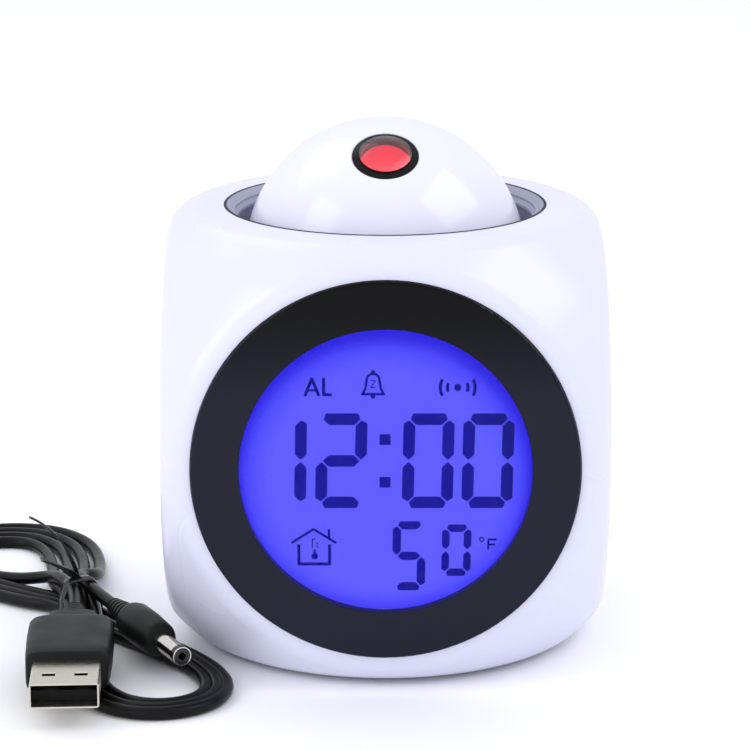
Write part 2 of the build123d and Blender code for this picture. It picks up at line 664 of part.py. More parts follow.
def lcd_holder():
    """Tray that holds glass, contact strip and light guide against the window, with four ears."""
    inner = LCD_SIDE + 2 * SLIP_GAP
    outer = inner + 2 * HOLDER_WALL
    tray = cut_square(outer, LCD_FRONT + LCD_GLASS_THICK / 2, HOLDER_BACK_OUT)
    for x, z in corners(HOLDER_EAR_X, HOLDER_EAR_Z):
        tray += rod_y(HOLDER_EAR_R, HOLDER_BACK_IN + GLUE_GAP, HOLDER_BACK_OUT, x, MID_Z + z)
        web_x = math.copysign(outer / 2 - HOLDER_WALL, x)
        tray += block(min(web_x, x), max(web_x, x), HOLDER_BACK_IN + GLUE_GAP, HOLDER_BACK_OUT,
                      MID_Z + z - HOLDER_EAR_R, MID_Z + z + HOLDER_EAR_R)
    tray -= cut_square(inner, 2 * FRONT_IN, HOLDER_BACK_IN)
    for led in backlight_leds(SLIP_GAP):
        tray -= led
    for x, z in corners(HOLDER_EAR_X, HOLDER_EAR_Z):
        tray -= rod_y(HOLDER_EAR_R + SLIP_GAP, 2 * FRONT_IN, HOLDER_BACK_IN + GLUE_GAP / 2, x, MID_Z + z)
        tray -= rod_y(SCREW_SHANK_R + SCREW_GAP, -CASE_SIDE, 0, x, MID_Z + z)
    tray -= contact_slot(STRIP_SIDE_GAP, HOLDER_BACK_IN - 1, BOARD_FRONT)
    for x, z in board_screw_places():
        tray += rod_y(STANDOFF_R, HOLDER_BACK_OUT - HOLDER_BACK / 2, BOARD_FRONT, x, z)
        tray -= rod_y(SCREW_SHANK_R + SCREW_GAP, HOLDER_BACK_IN, BOARD_BACK, x, z)
    return tray


def board_screw_places():
    """Places of the main board's screws."""
    x = MAIN_BOARD_W / 2 - BOARD_SCREW_INSET
    z = MAIN_BOARD_H / 2 - BOARD_SCREW_INSET
    return [(cx, BOARD_Z + cz) for cx, cz in corners(x, z)]


def contact_slot(margin, y_from, y_to):
    """The contact strip's outline behind the glass ledge, widened by a margin."""
    z = MID_Z - LCD_SIDE / 2 + LCD_LEDGE / 2
    return plate_xz(STRIP_LEN + 2 * margin, STRIP_THICK + 2 * margin, y_from, y_to, 0, z)


def contact_strip():
    """Elastomer strip from the glass ledge to the main board, past the guide and through the holder."""
    return contact_slot(0, LCD_BACK + GLUE_GAP, BOARD_FRONT - GLUE_GAP)


def digit_strokes(name):
    """Which of the seven strokes are lit: a top, b c right, d bottom, e f left, g middle."""
    return {"0": "abcdef", "1": "bc", "2": "abdeg", "5": "acdfg"}[name]


def stroke_outline(width, height, stroke, letter):
    """Corner points of one stroke of a seven-segment digit centred on the origin."""
    w = width / 2
    h = height / 2
    t = stroke
    g = SEGMENT_GAP
    c = SEGMENT_CORNER * t
    across = [(-w + t / 2 + g, 0), (-w + t + g, t / 2), (w - t - g, t / 2), (w - t / 2 - g, 0),
              (w - t - g, -t / 2), (-w + t + g, -t / 2)]
    end = [(-w + c, h), (w - c, h), (w - t / 2 - g, h - t / 2), (w - t - g, h - t),
           (-w + t + g, h - t), (-w + t / 2 + g, h - t / 2)]
    upright = [(w - t / 2, h - t / 2 - g), (w, h - c - g), (w, t / 2 + g), (w - t / 2, g),
               (w - t, t / 2 + g), (w - t, h - t - g)]
    if letter == "g":
        return across
    if letter in "ad":
        flip = 1 if letter == "a" else -1
        return [(x, flip * y) for x, y in end]
    flip_x = 1 if letter in "bc" else -1
    flip_y = 1 if letter in "bf" else -1
    return [(flip_x * x, flip_y * y) for x, y in upright]


def digit(name, width, height, stroke, x, z):
    """Thin solids for one leaning digit, centred at x and z."""
    solids = []
    lean = math.tan(math.radians(DIGIT_LEAN))
    for letter in digit_strokes(name):
        outline = stroke_outline(width, height, stroke, letter)
        solids.append(ink([(x + px + lean * pz, z + pz) for px, pz in outline]))
    return solids


def ink(points):
    """A thin solid of the given outline in front of the glass; points are x and height."""
    wire = Polyline(*[(px, INK_FRONT + INK_THICK, pz) for px, pz in points], close=True)
    return extrude(make_face(wire), INK_THICK, dir=(0, -1, 0))


def ink_bar(x0, z0, x1, z1, width=ICON_LINE):
    """A straight stroke between two points."""
    run = math.hypot(x1 - x0, z1 - z0)
    nx = -(z1 - z0) / run * width / 2
    nz = (x1 - x0) / run * width / 2
    return ink([(x0 + nx, z0 + nz), (x1 + nx, z1 + nz), (x1 - nx, z1 - nz), (x0 - nx, z0 - nz)])


def ink_arc(x, z, radius, from_deg, to_deg, width=ICON_LINE):
    """A curved stroke about a centre."""
    outer = radius + width / 2
    inner = radius - width / 2
    y = INK_FRONT + INK_THICK
    plane = Plane(origin=(x, y, z), x_dir=(1, 0, 0), z_dir=(0, -1, 0))
    sweep_deg = to_deg - from_deg
    edge_out = CenterArc((0, 0), outer, from_deg, sweep_deg)
    edge_in = CenterArc((0, 0), inner, from_deg, sweep_deg)
    sides = [Line(edge_out @ 0, edge_in @ 0), Line(edge_out @ 1, edge_in @ 1)]
    face = make_face([edge_out, edge_in] + sides)
    return extrude(plane * face, INK_THICK, dir=(0, -1, 0))


def ink_dot(x, z, radius):
    """A round dot."""
    return rod_y(radius, INK_FRONT, INK_FRONT + INK_THICK, x, z)


def lcd_segments():
    """The dark marks on the display: time, temperature and symbols."""
    solids = []
    row = MID_Z + DIGIT_ROW
    for name, x in zip("1200", DIGIT_XS):
        solids += digit(name, DIGIT_W, DIGIT_H, DIGIT_STROKE, x, row)
    for z in (row - COLON_RISE, row + COLON_RISE):
        solids.append(plate_xz(COLON_SIDE, COLON_SIDE, INK_FRONT, INK_FRONT + INK_THICK, COLON_X, z))
    solids += digit("5", SMALL_DIGIT_W, SMALL_DIGIT_H, SMALL_DIGIT_STROKE, SMALL_DIGIT_X,
                    MID_Z + SMALL_DIGIT_ROW)
    solids += digit("0", LAST_DIGIT_W, LAST_DIGIT_H, LAST_DIGIT_STROKE, LAST_DIGIT_X, MID_Z + LAST_DIGIT_ROW)
    solids += degree_f(DEGREE_X, MID_Z + DEGREE_ROW)
    solids += house(HOUSE_X, MID_Z + HOUSE_ROW)
    solids += letters_al(LETTERS_X, MID_Z + LETTERS_ROW)
    solids += bell(BELL_X, MID_Z + BELL_ROW)
    solids += sound_mark(SOUND_X, MID_Z + SOUND_ROW)
    return solids


def joined(marks):
    """The solids of marks that touch, fused."""
    whole = marks[0]
    for mark in marks[1:]:
        whole += mark
    return list(whole.solids())


def chain(x, z, points, width):
    """Strokes through points given from the icon's middle, with round joints."""
    places = [(x + px, z + pz) for px, pz in points]
    bars = [ink_bar(*start, *end, width) for start, end in zip(places, places[1:])]
    return bars + [ink_dot(*place, width / 2) for place in places[1:-1]]


def degree_f(x, z):
    """Degree ring about x and z, and a capital F beside it."""
    ring = [ink_arc(x, z, 0.36, start, start + 180, FINE_LINE) for start in (0, 180)]
    letter = chain(x, z, [(1.15, -1.85), (1.15, 0.0), (2.6, 0.0)], ICON_LINE * 0.8)
    letter += chain(x, z, [(1.15, -0.95), (2.35, -0.95)], ICON_LINE * 0.8)
    return joined(ring) + joined(letter)


def house(x, z):
    """House outline with a chimney and a thermometer in it."""
    roof = chain(x, z, [(-4.0, 0.7), (-0.1, 3.25), (3.95, 0.7)], ICON_LINE)
    roof += chain(x, z, [(2.65, 1.6), (2.65, 3.25)], ICON_LINE)
    walls = chain(x, z, [(-2.7, 0.45), (-2.7, -3.2), (2.75, -3.2), (2.75, 0.45)], BOLD_LINE)
    bulb = [ink_dot(x + 0.1, z - 1.75, 0.6)] + chain(x, z, [(0.1, -1.3), (0.1, -0.5)], ICON_LINE)
    scale = chain(x, z, [(-0.3, -0.2), (-0.3, 1.4), (0.15, 1.4)], FINE_LINE)
    ticks = [mark for rise in (0.0, 0.6) for mark in chain(x, z, [(0.35, rise), (0.75, rise)], FINE_LINE)]
    return joined(roof) + joined(walls) + joined(bulb) + joined(scale) + ticks


def letters_al(x, z):
    """Capital A and L."""
    first = chain(x, z, [(-2.35, -1.65), (-1.1, 1.45), (0.15, -1.65)], BOLD_LINE)
    first += chain(x, z, [(-1.9, -0.6), (-0.3, -0.6)], ICON_LINE)
    last = chain(x, z, [(0.95, 1.65), (0.95, -1.4), (2.4, -1.4)], BOLD_LINE)
    return joined(first) + joined(last)


def bell(x, z):
    """Bell outline with a crown, a clapper and a snooze mark."""
    side = [(2.0, -1.7), (1.75, -1.55), (1.3, -0.5), (1.12, 0.85)]
    marks = chain(x, z, [(-px, pz) for px, pz in side], ICON_LINE) + chain(x, z, side, ICON_LINE)
    marks += chain(x, z, [(-2.1, -1.7), (2.1, -1.7)], ICON_LINE)
    marks += [ink_arc(x, z + 0.85, 1.12, 0, 180, ICON_LINE), ink_dot(x, z + 2.3, 0.36)]
    marks += [ink_dot(x, z - 2.15, 0.4)]
    snooze = chain(x, z, [(-0.4, 0.7), (0.4, 0.7), (-0.4, -0.5), (0.4, -0.5)], FINE_LINE * 0.8)
    return joined(marks) + joined(snooze)


def sound_mark(x, z):
    """A dot between two pairs of arcs."""
    marks = [ink_dot(x, z, 0.64)]
    for radius, spread in ((1.8, 25), (3.05, 29)):
        marks.append(ink_arc(x, z, radius, -spread, spread, BOLD_LINE))
        marks.append(ink_arc(x, z, radius, 180 - spread, 180 + spread, BOLD_LINE))
    return marks


# --- boards ---

def main_board():
    """Printed board behind the display."""
    board = plate_xz(MAIN_BOARD_W, MAIN_BOARD_H, BOARD_FRONT, BOARD_BACK, 0, BOARD_Z, 1.0)
    for x, z in board_screw_places():
        board -= rod_y(SCREW_SHANK_R + SLIP_GAP, BOARD_FRONT - 1, BOARD_BACK + 1, x, z)
    return board


def inner_screws():
    """The small screws: display holder, main board, support plate and key board."""
    forward = Rot(-90, 0, 0) * small_screw()
    screws = [Pos(x, HOLDER_BACK_OUT, MID_Z + z) * forward for x, z in corners(HOLDER_EAR_X, HOLDER_EAR_Z)]
    board_screw_len = BOARD_BACK - HOLDER_BACK_IN - GLUE_GAP
    short = Rot(-90, 0, 0) * small_screw(board_screw_len)
    screws += [Pos(x, BOARD_BACK, z) * short for x, z in board_screw_places()]
    down = small_screw()
    screws += [Pos(x, y, PLATE_TOP) * down for x, y in corners(PLATE_PILLAR_X, PLATE_PILLAR_Y)]
    backward = Rot(90, 0, 0) * small_screw()
    screws += [Pos(x, KEY_BOARD_FRONT, CONTROL_Z) * backward for x in (-BUTTON_PITCH, BUTTON_PITCH)]
    return screws


def chip_caps():
    """Resin caps over the two bonded chips on the back of the main board."""
    caps = []
    for x, radius in zip(CHIP_XS, CHIP_CAP_RS):
        cap = rod_y(radius, BOARD_BACK, BOARD_BACK + CHIP_CAP_H, x, BOARD_Z)
        caps.append(fillet(cap.faces().sort_by(Axis.Y)[-1].edges(), CHIP_CAP_H * 0.75))
    return caps


def timing_crystal():
    """Watch crystal can lying on the main board."""
    place = Pos(0, BOARD_BACK + CRYSTAL_R, BOARD_Z - CRYSTAL_DROP) * Rot(0, 90, 0)
    can = place * Cylinder(CRYSTAL_R, CRYSTAL_LEN)
    return fillet(can.faces().sort_by(Axis.X)[-1].edges(), CRYSTAL_R * 0.3)


def backlight_leds(margin=0.0):
    """Two blue side LEDs in pockets of the holder's wall, facing the light guide's edge."""
    leds = []
    y = (GUIDE_FRONT + GUIDE_BACK) / 2
    deep = LED_CHIP_DEEP + 2 * margin
    x = -LCD_SIDE / 2 - SLIP_GAP - LED_CHIP_DEEP / 2
    for z in (MID_Z - LED_CHIP_SPAN / 2, MID_Z + LED_CHIP_SPAN / 2):
        half = LED_CHIP_THICK / 2 + margin
        leds.append(plate_xz(deep, LED_CHIP_LEN + 2 * margin, y - half, y + half, x, z))
    return leds


# --- well, cradle and press ---

def well_ring():
    """Ring that lines the well, with a flange glued under the case top."""
    under_top = TOP_Z - WALL - GLUE_GAP
    tube = rod_z(WELL_OUT_R, WELL_BOTTOM, TOP_Z - WELL_EDGE_R - GLUE_GAP)
    tube += rod_z(WELL_FLANGE_R, under_top - WELL_FLANGE_THICK, under_top)
    tube -= rod_z(WELL_IN_R, WELL_BOTTOM - 1, TOP_Z + 1)
    return tube


def projector_cradle():
    """Cup under the ball with two bearing ears, a flange with four lugs and guide posts."""
    edge_z = BALL_Z - CRADLE_DROP
    cup = Pos(0, 0, BALL_Z) * Sphere(CRADLE_OUT_R)
    ear_top = BALL_Z + CRADLE_EAR_RISE
    keep = block(-HALF, HALF, -HALF, HALF, 0, edge_z)
    keep += block(-HALF, HALF, -CRADLE_EAR_HALF, CRADLE_EAR_HALF, 0, ear_top)
    cup = cup & keep
    cup += rod_z(CRADLE_OUT_R, FLANGE_BOTTOM, FLANGE_TOP)
    for x, y in corners(GUIDE_X, GUIDE_Y):
        cup += rod_z(GUIDE_LUG_R, FLANGE_BOTTOM, FLANGE_TOP, x, y)
    for x, y in corners(GUIDE_X, GUIDE_Y):
        cup += rod_z(GUIDE_POST_R, PLATE_TOP + PRESS_TRAVEL + 1.0, FLANGE_TOP, x, y)
    cup -= Pos(0, 0, BALL_Z) * Sphere(CRADLE_IN_R)
    bore = Pos(0, 0, BALL_Z) * Rot(0, 90, 0) * Cylinder(TRUNNION_R + TRUNNION_RUN_GAP, CASE_SIDE)
    return cup - bore


def cradle_support():
    """Plate on the case pillars that carries the four guide tubes and the snooze board."""
    plate = block(-PLATE_W / 2, PLATE_W / 2, -PLATE_D / 2, PLATE_D / 2, PLATE_BOTTOM, PLATE_TOP)
    plate = fillet(plate.edges().filter_by(Axis.Z), 4.0)
    for x, y in corners(GUIDE_X, GUIDE_Y):
        plate += rod_z(GUIDE_TUBE_R, PLATE_BOTTOM, PLATE_TOP + GUIDE_TUBE_LEN, x, y)
    for x, y in corners(GUIDE_X, GUIDE_Y):
        plate -= rod_z(GUIDE_TUBE_BORE, PLATE_BOTTOM - 1, TOP_Z, x, y)
    for x, y in corners(PLATE_PILLAR_X, PLATE_PILLAR_Y):
        plate -= rod_z(SCREW_SHANK_R + SLIP_GAP, 0, TOP_Z, x, y)
    return plate


def cradle_springs():
    """Four coil springs around the guide tubes that lift the cradle."""
    low = PLATE_TOP + SPRING_WIRE / 2 + GLUE_GAP
    high = FLANGE_BOTTOM - SPRING_WIRE / 2 - GLUE_GAP
    path = Helix((high - low) / SPRING_TURNS, high - low, SPRING_R)
    section = Plane(origin=path @ 0, z_dir=path % 0) * Circle(SPRING_WIRE / 2)
    coil = sweep(section, path)
    return [Pos(x, y, low) * coil for x, y in corners(GUIDE_X, GUIDE_Y)]


def snooze_board():
    """Small board under the cradle."""
    w = SNOOZE_BOARD_W / 2
    d = SNOOZE_BOARD_D / 2
    return block(-w, w, -d, d, PLATE_TOP, SNOOZE_BOARD_TOP)


def tact_switch():
    """A tact switch standing on the XY plane, its key upwards."""
    half = TACT_SIDE / 2
    body = block(-half, half, -half, half, 0, TACT_BODY_H)
    return body + rod_z(TACT_KEY_R, TACT_BODY_H, TACT_BODY_H + TACT_KEY_H)


def snooze_switch():
    """Tact switch that the cradle presses."""
    return Pos(0, 0, SNOOZE_BOARD_TOP) * tact_switch()


# --- projector ball, built along +Z about the ball centre and then tilted ---

def place_in_ball(shape):
    """Move a piece from the lens axis frame to its stored pose."""
    return Pos(0, 0, BALL_Z) * Rot(90 - LENS_ELEVATION, 0, 0) * shape


def local_block(half_x, half_y, z_from, z_to):
    """A box about the lens axis."""
    return block(-half_x, half_x, -half_y, half_y, z_from, z_to)


def ball_shell():
    """The whole hollow ball."""
    return Sphere(BALL_R) - Sphere(BALL_R - BALL_WALL)


def trunnion_bore():
    """The round passage for the trunnion pins at the seam."""
    return Rot(0, 90, 0) * Cylinder(TRUNNION_R + GLUE_GAP, 4 * BALL_R)


def ball_cap():
    """Ball half with the lens opening and two screw bosses."""
    cap = ball_shell() & local_block(BALL_R, BALL_R, GLUE_GAP, BALL_R)
    for y in (-BALL_SCREW_OFFSET, BALL_SCREW_OFFSET):
        cap += rod_z(BALL_BOSS_R, GLUE_GAP, BALL_R, 0, y) & Sphere(BALL_R - BALL_WALL / 2)
    for y in (-BALL_SCREW_OFFSET, BALL_SCREW_OFFSET):
        cap -= rod_z(SCREW_SHANK_R + SCREW_GAP, -1, BALL_SCREW_LEN - BALL_SCREW_SINK + 1, 0, y)
    cap -= rod_z(LENS_OPENING_R, 0, 2 * BALL_R)
    cap -= trunnion_bore()
    rim = [e for e in cap.edges().filter_by(GeomType.CIRCLE)
           if abs(e.radius - LENS_OPENING_R) < 0.01 and e.center().Z > BALL_R - BALL_WALL]
    cap = fillet(rim, LENS_OPENING_ROUND)
    return place_in_ball(cap)


def ball_base():
    """Lower ball half with two screw wells."""
    base = ball_shell() & local_block(BALL_R, BALL_R, -BALL_R, -GLUE_GAP)
    well_r = SCREW_HEAD_R + SLIP_GAP
    for y in (-BALL_SCREW_OFFSET, BALL_SCREW_OFFSET):
        base += rod_z(well_r + SCREW_WELL_WALL, -BALL_R, -GLUE_GAP, 0, y) & Sphere(BALL_R - BALL_WALL / 2)
    for y in (-BALL_SCREW_OFFSET, BALL_SCREW_OFFSET):
        base -= rod_z(SCREW_SHANK_R + SLIP_GAP, -2 * BALL_R, 1, 0, y)
        base -= rod_z(well_r, -2 * BALL_R, -BALL_SCREW_SINK, 0, y)
    base -= trunnion_bore()
    return place_in_ball(base)


def ball_screws():
    """Two screws that hold the ball halves together."""
    one = Rot(180, 0, 0) * small_screw(BALL_SCREW_LEN)
    return [place_in_ball(Pos(0, y, -BALL_SCREW_SINK) * one) for y in (-BALL_SCREW_OFFSET, BALL_SCREW_OFFSET)]


def trunnion_pins():
    """Two hollow pins that carry the ball in the cradle's ears and let the wires through."""
    pins = []
    inner_face = BALL_R - BALL_WALL - SLIP_GAP - 0.2
    for side in (-1, 1):
        pin = Pos(side * (inner_face + CRADLE_OUT_R) / 2, 0, 0) * Rot(0, 90, 0)
        pin = pin * Cylinder(TRUNNION_R, CRADLE_OUT_R - inner_face)
        head_x = side * (inner_face - TRUNNION_HEAD_T / 2)
        pin += Pos(head_x, 0, 0) * Rot(0, 90, 0) * Cylinder(TRUNNION_HEAD_R, TRUNNION_HEAD_T)
        pin -= Rot(0, 90, 0) * Cylinder(TRUNNION_BORE_R, 4 * BALL_R)
        pins.append(place_in_ball(pin))
    return pins


def lens_bezel():
    """Dark ring in the ball's opening, rounded as the ball is, with a ledge for the lens."""
    ring = rod_z(LENS_OPENING_R - GLUE_GAP, LENS_BEZEL_BOTTOM, BALL_R) & Sphere(BALL_R - LENS_BEZEL_SINK)
    ring -= rod_z(LENS_R + GLUE_GAP, LENS_EDGE_BOTTOM - GLUE_GAP, 2 * BALL_R)
    ring -= rod_z(LENS_R - LENS_SEAT, 0, 2 * BALL_R)
    return place_in_ball(ring)


def projector_lens():
    """Plano-convex lens that stands a little out of its ring."""
    dome_r = (LENS_R ** 2 + LENS_SAG ** 2) / (2 * LENS_SAG)
    rim = rod_z(LENS_R, LENS_EDGE_BOTTOM, LENS_EDGE_TOP + LENS_SAG)
    dome = Pos(0, 0, LENS_EDGE_TOP + LENS_SAG - dome_r) * Sphere(dome_r)
    return place_in_ball(rim & (dome + rod_z(LENS_R, LENS_EDGE_BOTTOM, LENS_EDGE_TOP)))


def optic_tube():
    """Black tube that lines up the optics."""
    inner = LENS_R + GLUE_GAP
    outer = inner + OPTIC_TUBE_WALL
    reach = math.sqrt((BALL_R - BALL_WALL) ** 2 - outer ** 2) - GLUE_GAP
    tube = rod_z(outer, OPTIC_TUBE_BOTTOM, min(reach, LENS_BEZEL_BOTTOM - GLUE_GAP))
    tube -= rod_z(inner, 0, 2 * BALL_R)
    return place_in_ball(tube)


def condenser_lens():
    """Condenser between LED and slide display."""
    lens = rod_z(LENS_R, CONDENSER_FROM, CONDENSER_FROM + CONDENSER_THICK)
    return place_in_ball(fillet(lens.faces().sort_by(Axis.Z)[-1].edges(), CONDENSER_THICK * 0.8))


def slide_lcd():
    """Small display that is projected."""
    half = SLIDE_LCD_SIDE / 2
    return place_in_ball(local_block(half, half, SLIDE_LCD_FROM, SLIDE_LCD_FROM + SLIDE_LCD_THICK))


def projector_board():
    """Board that carries the projector LED."""
    half = PROJECTOR_BOARD_SIDE / 2
    board = local_block(half, half, PROJECTOR_BOARD_FROM, PROJECTOR_BOARD_FROM + SNOOZE_BOARD_THICK)
    return place_in_ball(board)


def projector_led():
    """Round red LED with a domed end."""
    foot = PROJECTOR_BOARD_FROM + SNOOZE_BOARD_THICK
    led = rod_z(LED_R, foot, foot + LED_H)
    return place_in_ball(fillet(led.faces().sort_by(Axis.Z)[-1].edges(), LED_R * 0.9))


# --- sound ---

def speaker_body():
    """Speaker basket and magnet."""
    floor = FOOT_PROUD + WALL
    basket = rod_z(SPEAKER_R, floor, floor + SPEAKER_H)
    basket -= rod_z(SPEAKER_R - SPEAKER_RIM, floor - 1, floor + SPEAKER_H - SPEAKER_TOP)
    basket += rod_z(SPEAKER_MAGNET_R, floor + SPEAKER_H - SPEAKER_TOP, floor + SPEAKER_H + SPEAKER_MAGNET_H)
    return basket


def speaker_cone():
    """Speaker diaphragm."""
    middle = FOOT_PROUD + WALL + SPEAKER_CONE_RISE + SPEAKER_CONE_H / 2
    rim_r = SPEAKER_R - SPEAKER_RIM - GLUE_GAP
    cone = Pos(0, 0, middle) * Cone(rim_r, SPEAKER_CAP_R, SPEAKER_CONE_H)
    return cone - Pos(0, 0, middle - SPEAKER_CONE_WALL) * Cone(rim_r, SPEAKER_CAP_R, SPEAKER_CONE_H)


# --- power ---

def battery_tray():
    """Tray for three cells, open to the back, with contact slots in its end walls."""
    inner_w = CELL_SPACE
    outer_w = inner_w + 2 * TRAY_WALL
    outer_h = TRAY_IN_H + 2 * TRAY_WALL
    tray = plate_xz(outer_w, outer_h, TRAY_FLOOR, TRAY_RIM, 0, TRAY_Z, 1.0)
    tray -= plate_xz(inner_w, TRAY_IN_H, TRAY_FLOOR + TRAY_WALL, CASE_SIDE, 0, TRAY_Z)
    return tray


def cell_rows():
    """Heights of the cells, and which way each one points."""
    return [(TRAY_Z + CELL_PITCH * (i - 1), 1 if i % 2 == 0 else -1) for i in range(3)]


def battery_cells():
    """Three AAA cells, alternately turned."""
    cells = []
    for z, way in cell_rows():
        shift = way * (contact_end() - CONTACT_THICK - GLUE_GAP - CELL_NUB_LEN - CELL_LEN / 2)
        cell = Pos(shift, CELL_Y, z) * Rot(0, 90, 0) * Cylinder(CELL_R, CELL_LEN)
        cell = fillet(cell.edges().filter_by(GeomType.CIRCLE), 0.5)
        nub_x = shift + way * (CELL_LEN + CELL_NUB_LEN) / 2
        cell += Pos(nub_x, CELL_Y, z) * Rot(0, 90, 0) * Cylinder(CELL_NUB_R, CELL_NUB_LEN)
        cells.append(cell)
    return cells


def contact_end():
    """Half the distance between the contact walls, less the gap behind a contact."""
    return CELL_SPACE / 2 - GLUE_GAP


def contact_plates():
    """A flat contact behind each cell's positive end and each spring."""
    plates = []
    for z, way in cell_rows():
        for side in (-1, 1):
            x = side * (contact_end() - CONTACT_THICK / 2)
            plates.append(block(x - CONTACT_THICK / 2, x + CONTACT_THICK / 2, CELL_Y - CONTACT_SIDE / 2,
                                CELL_Y + CONTACT_SIDE / 2, z - CONTACT_SIDE / 2, z + CONTACT_SIDE / 2))
    return plates


def contact_springs():
    """A short coil at each cell's negative end."""
    springs = []
    room = 2 * (contact_end() - CONTACT_THICK - GLUE_GAP) - CELL_LEN - CELL_NUB_LEN
    height = room - CONTACT_WIRE - GLUE_GAP
    path = Helix(height / CONTACT_TURNS, height, CONTACT_COIL_R)
    coil = sweep(Plane(origin=path @ 0, z_dir=path % 0) * Circle(CONTACT_WIRE / 2), path)
    for z, way in cell_rows():
        start = -way * (contact_end() - CONTACT_THICK - CONTACT_WIRE / 2)
        springs.append(Pos(start, CELL_Y, z) * Rot(0, 90 * way, 0) * coil)
    return springs


def battery_door():
    """Lid over the cells, flush with the back, with two snap tongues and a finger notch."""
    door = plate_xz(DOOR_W, DOOR_H, HALF - DOOR_THICK, HALF, 0, TRAY_Z, DOOR_CORNER_R)
    tongue_out = TRAY_IN_H / 2 - DOOR_TONGUE_GAP
    for side in (-1, 1):
        z_out = TRAY_Z + side * min(tongue_out, DOOR_H / 2 - DOOR_LEDGE - DOOR_TONGUE_GAP)
        z_in = z_out - side * DOOR_TONGUE_THICK
        for x in (-CELL_SPACE / 4, CELL_SPACE / 4):
            door += block(x - DOOR_TONGUE_W / 2, x + DOOR_TONGUE_W / 2, HALF - DOOR_THICK - DOOR_TONGUE_LEN,
                          HALF - DOOR_THICK / 2, min(z_in, z_out), max(z_in, z_out))
    for i in range(DOOR_GRIP_COUNT):
        groove_w = DOOR_GRIP_W - i * DOOR_GRIP_STEP
        groove_z = TRAY_Z + DOOR_H / 2 - DOOR_GRIP_INSET - i * DOOR_GRIP_PITCH
        door -= plate_xz(groove_w, DOOR_GRIP_GROOVE, HALF - DOOR_GRIP_GROOVE / 2, CASE_SIDE, 0, groove_z)
    return door


# --- back controls ---

def button_cap(index):
    """One push button cap with its retaining flange."""
    x = BUTTON_XS[index]
    stem = rod_y(BUTTON_R, BUTTON_INNER, HALF + BUTTON_PROUD, x, CONTROL_Z)
    stem = fillet(stem.faces().sort_by(Axis.Y)[-1].edges(), 0.5)
    return stem + rod_y(BUTTON_FLANGE_R, BUTTON_INNER, BUTTON_FLANGE_BACK, x, CONTROL_Z)


def key_board():
    """Board behind the buttons."""
    board = plate_xz(KEY_BOARD_W, KEY_BOARD_H, KEY_BOARD_FRONT, KEY_BOARD_BACK, 0, CONTROL_Z, 1.0)
    for x in (-BUTTON_PITCH, BUTTON_PITCH):
        board -= rod_y(SCREW_SHANK_R + SLIP_GAP, 0, CASE_SIDE, x, CONTROL_Z)
    return board


def key_switches():
    """Four tact switches under the caps."""
    turned = Rot(-90, 0, 0) * tact_switch()
    return [Pos(x, KEY_BOARD_BACK, CONTROL_Z) * turned for x in BUTTON_XS]


def thermistor():
    """Temperature sensor bead behind the vents."""
    middle = KEY_BOARD_BACK + THERMISTOR_STAND
    bead = Pos(0, middle, CONTROL_Z) * Sphere(THERMISTOR_R)
    for x in (-THERMISTOR_LEG_SPAN / 2, THERMISTOR_LEG_SPAN / 2):
        bead += rod_y(THERMISTOR_LEG_R, KEY_BOARD_BACK, middle, x, CONTROL_Z)
    return bead


def jack_body():
    """Power socket housing with its nose in the rear wall."""
    inner_end = HALF - JACK_DEPTH - JACK_END_WALL
    body = plate_xz(JACK_SIDE, JACK_SIDE, inner_end, BACK_IN - GLUE_GAP, JACK_X, SOCKET_Z)
    body += rod_y(JACK_NOSE_R, BACK_IN - 1, HALF, JACK_X, SOCKET_Z)
    return body - rod_y(JACK_BORE_R, HALF - JACK_DEPTH, CASE_SIDE, JACK_X, SOCKET_Z)


def jack_pin():
    """Centre pin of the power socket."""
    inner_end = HALF - JACK_DEPTH
    pin = rod_y(JACK_PIN_R, inner_end, HALF - JACK_PIN_SINK, JACK_X, SOCKET_Z)
    return fillet(pin.faces().sort_by(Axis.Y)[-1].edges(), JACK_PIN_R * 0.4)


def slider_body():
    """Slide switch can behind the rear wall."""
    back = BACK_IN - SLIDER_FLANGE_T - 2 * SLIDER_RUN_GAP
    x = SLIDER_X + SLIDER_TRAVEL / 2
    return plate_xz(SLIDER_BODY_W, SLIDER_BODY_H, back - SLIDER_BODY_D, back, x, SOCKET_Z)


def slider_knob():
    """Switch knob with a flange behind the wall."""
    front = BACK_IN - SLIDER_FLANGE_T - SLIDER_RUN_GAP
    flange = plate_xz(SLIDER_FLANGE_W, SLIDER_FLANGE_H, front, front + SLIDER_FLANGE_T, SLIDER_X, SOCKET_Z)
    knob = plate_xz(SLIDER_KNOB_W, SLIDER_KNOB_H, front, HALF + SLIDER_PROUD, SLIDER_X, SOCKET_Z)
    top = HALF + SLIDER_PROUD
    for dx in in_rows(KNOB_GROOVE_COUNT, KNOB_RIB_PITCH):
        knob -= plate_xz(KNOB_GROOVE, SLIDER_KNOB_H + 1, top - KNOB_GROOVE, top + 1, SLIDER_X + dx, SOCKET_Z)
    return flange + knob


# --- USB lead ---

def hank_place(along, aside, height):
    """A place beside the hank's middle line, facing along the near loop."""
    return Pos(TIE_X, TIE_Y, height) * Rot(0, 0, HANK_HEADING) * Pos(along, aside, 0)


def loop_band(length, radius, heading):
    """One loop of the hank: a flat band round a tapering hole, from the waist outwards."""
    band = BAND_STRANDS * CORD_D + 2 * SLIP_GAP
    centre = length - radius
    outer = make_hull([Pos(WAIST_HALF / 2, 0) * e for e in Circle(WAIST_R).edges()]
                      + [Pos(centre, 0) * e for e in Circle(radius).edges()])
    hole = make_hull([Pos(WAIST_HALF + band, 0) * e for e in Circle(CORD_D / 2).edges()]
                     + [Pos(centre, 0) * e for e in Circle(radius - band).edges()])
    return Pos(TIE_X, TIE_Y, 0) * Rot(0, 0, heading) * extrude(outer - hole, CORD_D)


